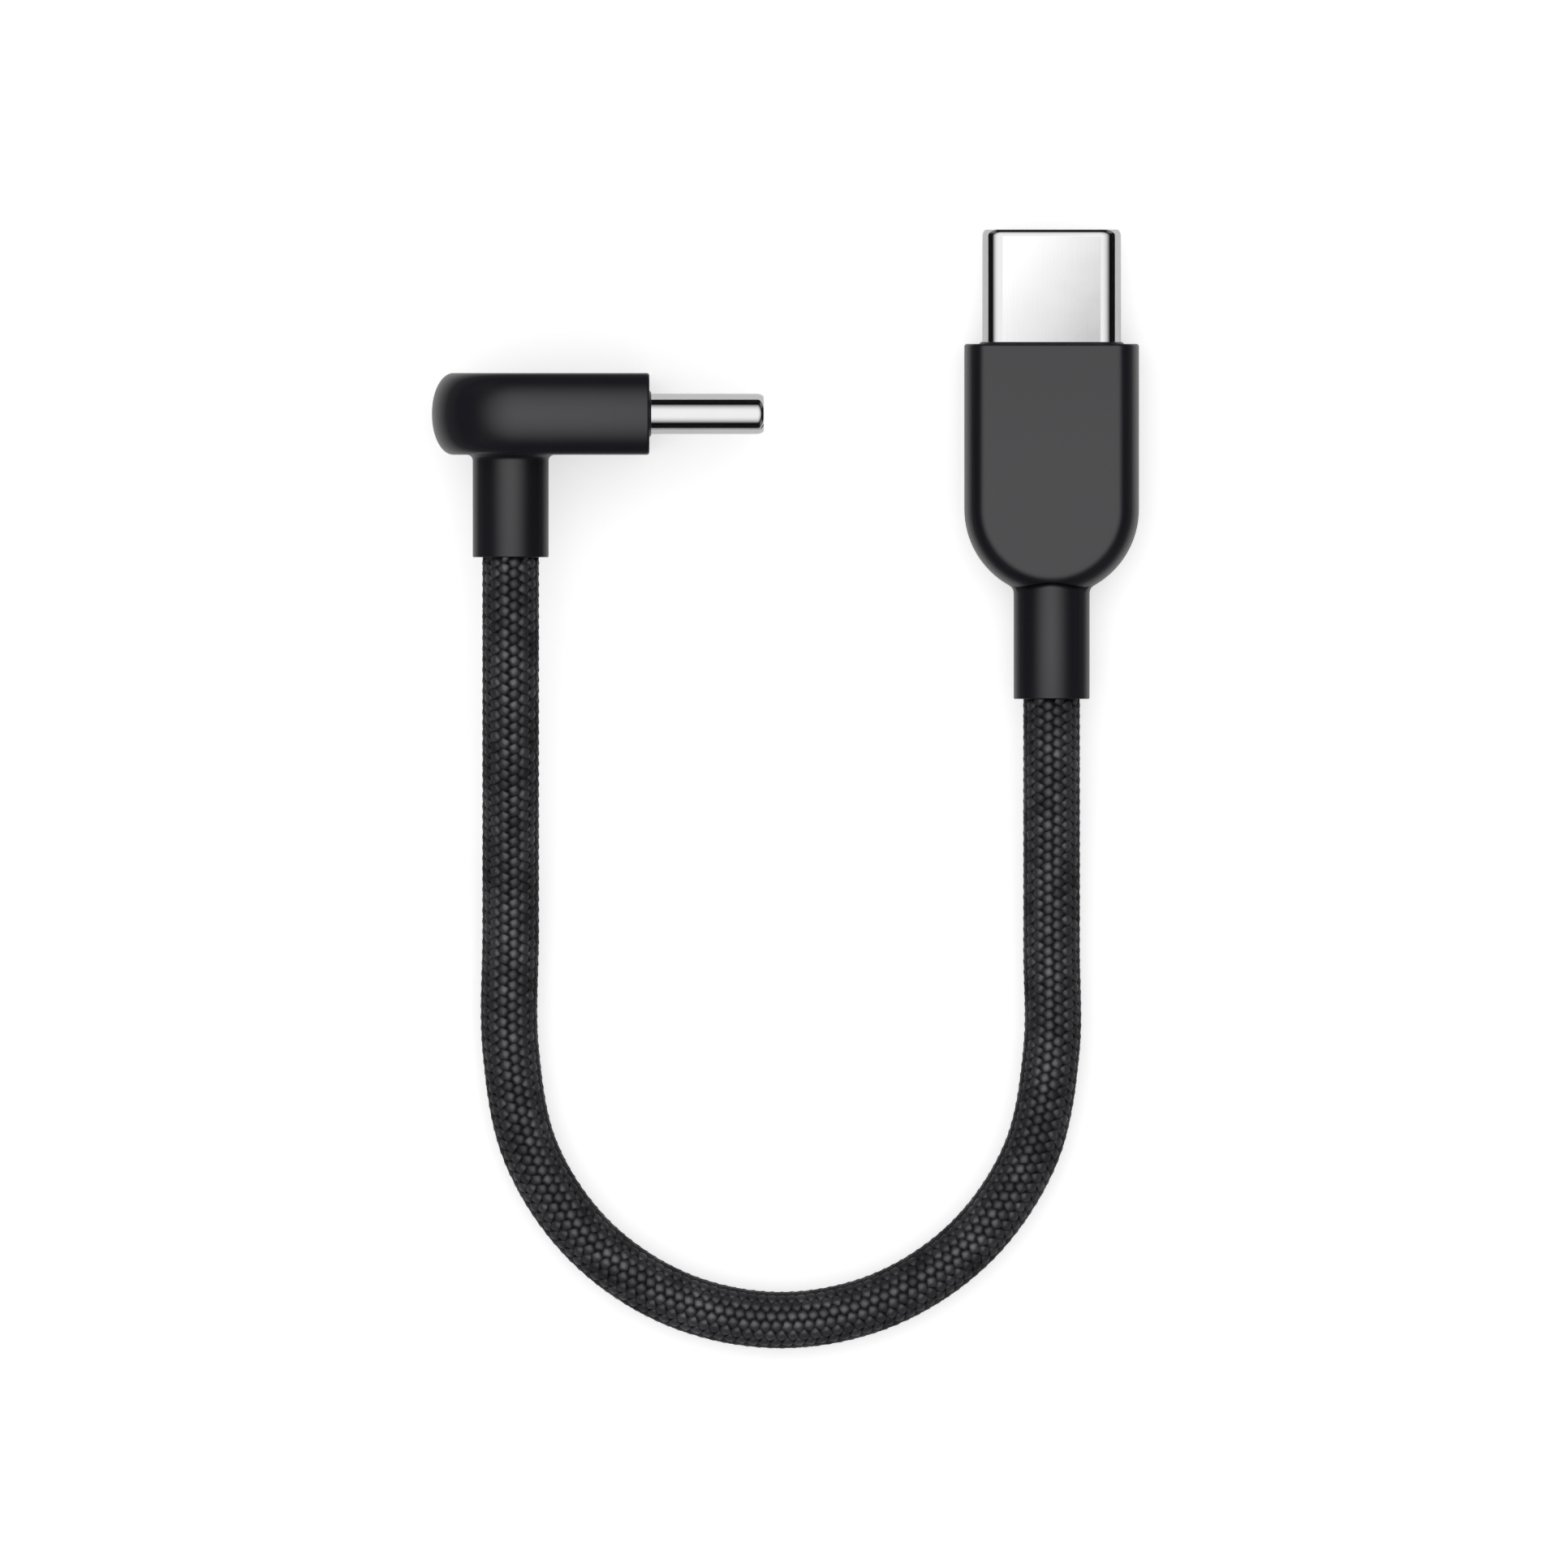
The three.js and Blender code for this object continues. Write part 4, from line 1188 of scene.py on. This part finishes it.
def relief_start(seat):
    """The ferrule's room, the flange and the neck."""
    start, stop = FLANGE_SPAN_MM
    flange = [(FERRULE_ROOM_MM[0], start), (FLANGE_RADIUS_MM, start), (FLANGE_RADIUS_MM, stop)]
    return [*flange, (NECK_RADIUS_MM, stop), (NECK_RADIUS_MM, seat)]


def relief_rings_angled():
    seat, end = RELIEF_SEAT_MM["angled"], RELIEF_END_MM["angled"]
    root = []
    for step in range(ROOT_STEPS + 1):
        turn = math.pi / 2 * step / ROOT_STEPS
        out = ROOT_ROUNDING_MM * (1 - math.sin(turn))
        along = ROOT_ROUNDING_MM * (1 - math.cos(turn))
        root.append((RELIEF_RADIUS_MM + out, seat - GAP_MM + along))
    return circles([*relief_start(seat), *root, *rounded_end(end), *inner_profile(end)])


# %% [markdown]
# On the straight plug the relief leaves through the rounded end, so its root follows the body. At each
# angle the point where the cylinder meets the body is found, and the rounding is drawn from there as a
# curve that touches both surfaces. Above and below, where the body is flat, the picture shows a dark
# line instead: a shallow parting groove. So the root's curve blends from the rounding at the sides into
# the groove's own section above and below.

# %% Root of the straight plug's relief
GROOVE_DEPTH_MM = 0.2
GROOVE_SHAPE = [
    (0.0, -0.1),
    (0.02, -0.06),
    (0.24, -0.01),
    (0.48, 0.045),
    (0.71, 0.1),
    (0.9, 0.17),
    (1.0, 0.26),
]
GROOVE_STARTS = 0.4
GROOVE_GROWS_OVER = 0.35
GROOVE_START_MM = (0.02, 0.12)
UNDER_GROOVE_MM = 0.03
WALK_STEP_MM = 0.01
FLAT_MARGIN_MM = 0.02
ROOT_SINK_MM = (-0.005, 0.01)


def rounded_back(x, z):
    """How far back the straight body's surface is at a place across it, in the plug's frame."""
    rise = BODY_THICKNESS_MM / 2 - BAND_MM / 2
    height = min(1.0, max(0.0, abs(z) - BAND_MM / 2) / rise)
    reach = BODY_WIDTH_MM / 2 - CROWN_MM * (1 - math.sqrt(1 - height * height))
    centre = BODY_WIDTH_MM / 2 - BODY_LENGTH_MM["straight"]
    return centre - math.sqrt(max(0.0, reach * reach - x * x))


def rounding_at(sideways, upward):
    """Where cylinder and body meet at one angle, and the points of the rounding there."""

    def back(out):
        return rounded_back(out * sideways, out * upward)

    meeting = Vector((RELIEF_RADIUS_MM, back(RELIEF_RADIUS_MM)))
    out = RELIEF_RADIUS_MM
    gone = 0.0
    on_body = meeting.copy()
    while gone < ROOT_ROUNDING_MM and abs(out * upward) < BODY_THICKNESS_MM / 2 - FLAT_MARGIN_MM:
        out += WALK_STEP_MM
        following = Vector((out, back(out)))
        gone += (following - on_body).length
        on_body = following
    on_relief = meeting - Vector((0, ROOT_ROUNDING_MM))
    curve = []
    for step in range(ROOT_STEPS + 1):
        t = step / ROOT_STEPS
        curve.append(on_body * (1 - t) ** 2 + meeting * 2 * t * (1 - t) + on_relief * t**2)
    curve[0] += Vector(ROOT_SINK_MM)
    return meeting, curve


def root_curve(turn):
    """Points of the root at one angle round the relief: distance out, and place along local Y."""
    sideways, upward = math.sin(turn), math.cos(turn)
    meeting, curve = rounding_at(sideways, upward)
    bottom = RELIEF_RADIUS_MM - GROOVE_DEPTH_MM
    groove = [Vector((bottom + GROOVE_DEPTH_MM * share, meeting.y - along)) for share, along in GROOVE_SHAPE]
    grooved = min(1.0, max(0.0, (abs(upward) - GROOVE_STARTS) / GROOVE_GROWS_OVER))
    sunk = Vector((bottom - GROOVE_START_MM[0], meeting.y + GROOVE_START_MM[1]))
    start = meeting.lerp(sunk, grooved)
    return [start, *(point.lerp(deeper, grooved) for point, deeper in zip(curve, groove))]


# %% Rings of the straight plug's relief


def relief_rings_straight():
    seat, end = RELIEF_SEAT_MM["straight"], RELIEF_END_MM["straight"]
    exit_at = SHIELD_BACK_MM["straight"]
    turns = [math.tau * side / TURNED_SIDES for side in range(TURNED_SIDES)]
    curves = [root_curve(turn) for turn in turns]
    rooted = [
        [(out * math.sin(turn), -y - exit_at, out * math.cos(turn)) for turn, (out, y) in zip(turns, row)]
        for row in zip(*curves)
    ]
    under = (RELIEF_RADIUS_MM - GROOVE_DEPTH_MM - UNDER_GROOVE_MM, seat)
    return [
        *circles([*relief_start(seat), under]),
        *rooted,
        *circles([*rounded_end(end), *inner_profile(end)]),
    ]


# %% Strain reliefs
relief_plastic = make_case_plastic("moulded_relief_plastic")
for plug, rings in (("straight", relief_rings_straight()), ("angled", relief_rings_angled())):
    place = PLUG_PLACE[plug] @ EXIT_PLACE[plug]
    relief_mesh = soften(skin(f"{plug}_plug_relief", rings, looped=True, place=place))
    settle(relief_mesh, relief_plastic, [f"{plug}_strain_relief"])

# %% [markdown]
# ## Inside the plugs
#
# The contacts, latches, boards and cases keep the shapes of the mechanical model, which are right as
# they are. They only get their finishes: gold on the contacts, bare spring steel, tinned steel, green
# laminate. The lines of the metal run the way each strip was drawn.

# %% Finishes of the carried-over nodes
LAMINATE_DARK = (0.006, 0.06, 0.018)
LAMINATE_LIGHT = (0.01, 0.1, 0.03)
CERAMIC_DARK = (0.28, 0.19, 0.11)
CERAMIC_LIGHT = (0.4, 0.28, 0.17)
GOLD_DARK = (0.72, 0.42, 0.13)
GOLD_LIGHT = (0.86, 0.55, 0.2)
REMADE_PARTS = ("shell", "body", "strain_relief")

housing_plastic = make_plastic("contact_housing_plastic", grey(0.006), grey(0.01), roughness=0.5)
laminate = make_plastic(
    "board_laminate", LAMINATE_DARK, LAMINATE_LIGHT, roughness=0.35, grains_per_mm=9.0, depth_mm=0.002
)
ceramic = make_plastic(
    "capacitor_ceramic", CERAMIC_DARK, CERAMIC_LIGHT, roughness=0.5, grains_per_mm=20.0
)

for plug, lines in LINES_OF.items():
    gold = make_metal(f"gold_of_{plug}_contacts", GOLD_DARK, GOLD_LIGHT, roughness=0.22, lines=lines)
    spring = make_metal(
        f"spring_steel_of_{plug}_plug", grey(0.42), grey(0.55), roughness=0.28, lines=lines
    )
    tinned = make_metal(f"tinned_steel_of_{plug}_plug", grey(0.4), grey(0.52), roughness=0.38, lines=lines)
    finishes = {
        "contact_housing": (housing_plastic, "housing_plastic"),
        "mid_plate": (spring, "spring_steel"),
        "latch_right": (spring, "spring_steel"),
        "latch_left": (spring, "spring_steel"),
        "circuit_board": (laminate, "board_laminate"),
        "bypass_capacitor": (ceramic, "capacitor_ceramic"),
        "rear_shield": (tinned, "tinned_metal"),
        "crimp_ferrule": (tinned, "tinned_metal"),
    }
    finished_nodes = 0
    for node_name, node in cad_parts.items():
        part = node_name.removeprefix(f"{plug}_")
        if part == node_name or part in REMADE_PARTS:
            continue
        finish, slot = finishes.get(part, (gold, "contact_gold"))
        node.data.materials.clear()
        node.data.materials.append(finish)
        finished_nodes += 1
    print(plug, "plug:", finished_nodes, "carried-over nodes finished")

# %% [markdown]
# ## Table
#
# The cable lies on white paper, and the lamp is kept at a plain level, at which a colour renders about
# as it is written. Paper in that light would look pale grey, so it glows a little to the camera, and
# less in reflections, so that the metal shows a white table too. That glow lights nothing else.

# %% Table
TABLE_MM = 4000
PAPER_DARK = grey(0.8)
PAPER_LIGHT = grey(0.84)
CAMERA_GLOW = 0.48
REFLECTED_GLOW = 0.14

table_finish, tree, shader = start_material("white_paper")
path = add_node(tree, "ShaderNodeLightPath").outputs
shader.inputs["Roughness"].default_value = 0.9
shader.inputs["Specular IOR Level"].default_value = 0.2
shader.inputs["Emission Color"].default_value = (1, 1, 1, 1)
fibre = add_node(tree, "ShaderNodeTexNoise", {"Scale": 400.0, "Detail": 3.0})
paper = blend_colours(tree, fibre.outputs["Fac"], PAPER_DARK, PAPER_LIGHT)
tree.links.new(paper, shader.inputs["Base Color"])
reflected = calculate(tree, "MAXIMUM", path["Is Glossy Ray"], path["Is Transmission Ray"])
glow = calculate(tree, "MULTIPLY", path["Is Camera Ray"], CAMERA_GLOW)
glow = calculate(tree, "MULTIPLY_ADD", reflected, REFLECTED_GLOW, glow)
tree.links.new(glow, shader.inputs["Emission Strength"])

half = TABLE_MM / 2
table_mesh = bpy.data.meshes.new("table")
table_corners = ((-half, -half, 0), (half, -half, 0), (half, half, 0), (-half, half, 0))
table_mesh.from_pydata([Vector(corner) * MM for corner in table_corners], [], [(0, 1, 2, 3)])
table_mesh.materials.append(table_finish)
table = bpy.data.objects.new("table", table_mesh)
scene.collection.objects.link(table)
print("table:", TABLE_MM, "mm square")

# %% [markdown]
# ## Softbox
#
# One large round softbox hangs over the table. It is bright in the middle and fades outward, which
# gives the rounded plastic its soft highlights. A flat metal face mirrors only a patch of the cloth
# that is no larger than itself. The soft gradient on the straight plug's shell is such a patch: a
# shaded fold in the cloth straight above it.

# %% Softbox
LAMP_HEIGHT_MM = 600
LAMP_RADIUS_MM = 1000
LAMP_MIDDLE_MM = (-60.0, 20.0)
LAMP_RADIANCE = 1.42
FULL_TO_MM = 150
DARK_FROM_MM = 950
FOLD_MIDDLE_MM = (15.83, 10.7)
FOLD_SLOPE_PER_MM = (-0.08, 0.055)
FOLD_FULL_MM = 7.0
FOLD_END_MM = 18.0
ROUND_POINTS = 64


def circle_points(radius, z):
    turns = [math.tau * i / ROUND_POINTS for i in range(ROUND_POINTS)]
    return [Vector((radius * math.cos(turn), radius * math.sin(turn), z)) * MM for turn in turns]


def add_stage(name, points, faces, finish):
    """A piece of the studio, which the camera does not see."""
    mesh = bpy.data.meshes.new(name)
    mesh.from_pydata(points, [], faces)
    mesh.materials.append(finish)
    piece = bpy.data.objects.new(name, mesh)
    piece.visible_camera = False
    scene.collection.objects.link(piece)
    print(name, len(faces), "faces")
    return piece


def way_from(tree, place, middle_mm):
    """The way from a point on the cloth to every other place on it, and its length."""
    start = (middle_mm[0] * MM, middle_mm[1] * MM, LAMP_HEIGHT_MM * MM)
    way = combine_vectors(tree, "SUBTRACT", place, start)
    length = add_node(tree, "ShaderNodeVectorMath", {0: way}, operation="LENGTH")
    return way, length.outputs["Value"]


def make_cloth():
    cloth = bpy.data.materials.new("softbox_cloth")
    cloth.use_nodes = True
    tree = cloth.node_tree
    place = add_node(tree, "ShaderNodeTexCoord").outputs["Object"]
    away = way_from(tree, place, LAMP_MIDDLE_MM)[1]
    fading = between(tree, away, LAMP_RADIANCE, 0.0, FULL_TO_MM * MM, DARK_FROM_MM * MM, smooth=True)
    from_fold, off_fold = way_from(tree, place, FOLD_MIDDLE_MM)
    near_fold = between(tree, off_fold, 1.0, 0.0, FOLD_FULL_MM * MM, FOLD_END_MM * MM, smooth=True)
    slope = (FOLD_SLOPE_PER_MM[0] / MM, FOLD_SLOPE_PER_MM[1] / MM, 0.0)
    tilted = add_node(tree, "ShaderNodeVectorMath", {0: from_fold, 1: slope}, operation="DOT_PRODUCT")
    shading = calculate(tree, "MULTIPLY_ADD", tilted.outputs["Value"], near_fold, 1.0)
    strength = calculate(tree, "MULTIPLY", fading, shading)
    glowing = add_node(tree, "ShaderNodeEmission", {"Color": (1, 1, 1, 1), "Strength": strength})
    tree.links.new(glowing.outputs[0], tree.nodes["Material Output"].inputs["Surface"])
    return cloth


lamp_points = circle_points(LAMP_RADIUS_MM, LAMP_HEIGHT_MM)
add_stage("softbox", lamp_points, [tuple(range(ROUND_POINTS))[::-1]], make_cloth())

# %% [markdown]
# ## Dark cards
#
# A photographer puts dark cards beside polished metal, because a mirror surrounded by white looks flat
# and white. Here they give the shells the dark lines along their edges. They stand along X and Y, the
# ways in which the two shells look, and get paler at the diagonals between them, so that the shells
# still look like metal from there. Only reflections see the cards: they shade nothing.

# %% Dark cards
CARD_LEVEL = 0.02
GAP_LEVEL = 0.36
GAP_RANGE = (0.72, 1.0)
CARD_FOOT_MM = 1

card_finish, tree, shader = start_material("dark_card")
at = split_axes(tree, add_node(tree, "ShaderNodeTexCoord").outputs["Object"])
# 0 where the card stands on X or Y, and 1 halfway between them.
diagonal = calculate(tree, "ABSOLUTE", calculate(tree, "MULTIPLY", at["X"], at["Y"]))
diagonal = calculate(tree, "DIVIDE", diagonal, 0.5 * (LAMP_RADIUS_MM * MM) ** 2)
between_cards = between(tree, diagonal, 0.0, 1.0, *GAP_RANGE, smooth=True)
card_colour = blend_colours(tree, between_cards, grey(CARD_LEVEL), grey(GAP_LEVEL))
tree.links.new(card_colour, shader.inputs["Base Color"])
shader.inputs["Roughness"].default_value = 1.0
shader.inputs["Specular IOR Level"].default_value = 0.0

card_faces = []
for i in range(ROUND_POINTS):
    beside = (i + 1) % ROUND_POINTS
    card_faces.append((i, beside, ROUND_POINTS + beside, ROUND_POINTS + i))
card_points = circle_points(LAMP_RADIUS_MM, CARD_FOOT_MM) + lamp_points
cards = add_stage("dark_cards", card_points, card_faces, card_finish)
cards.visible_diffuse = False
cards.visible_shadow = False
cards.visible_transmission = False

# %% [markdown]
# ## The room
#
# The room round the table is white and lights everything evenly, because the cards let its light pass.

# %% World
world = bpy.data.worlds.new("white_room")
scene.world = world
world.use_nodes = True
room = world.node_tree.nodes["Background"]
room.inputs["Color"].default_value = (1, 1, 1, 1)
room.inputs["Strength"].default_value = 1.0
print("world:", world.name, "strength", room.inputs["Strength"].default_value)
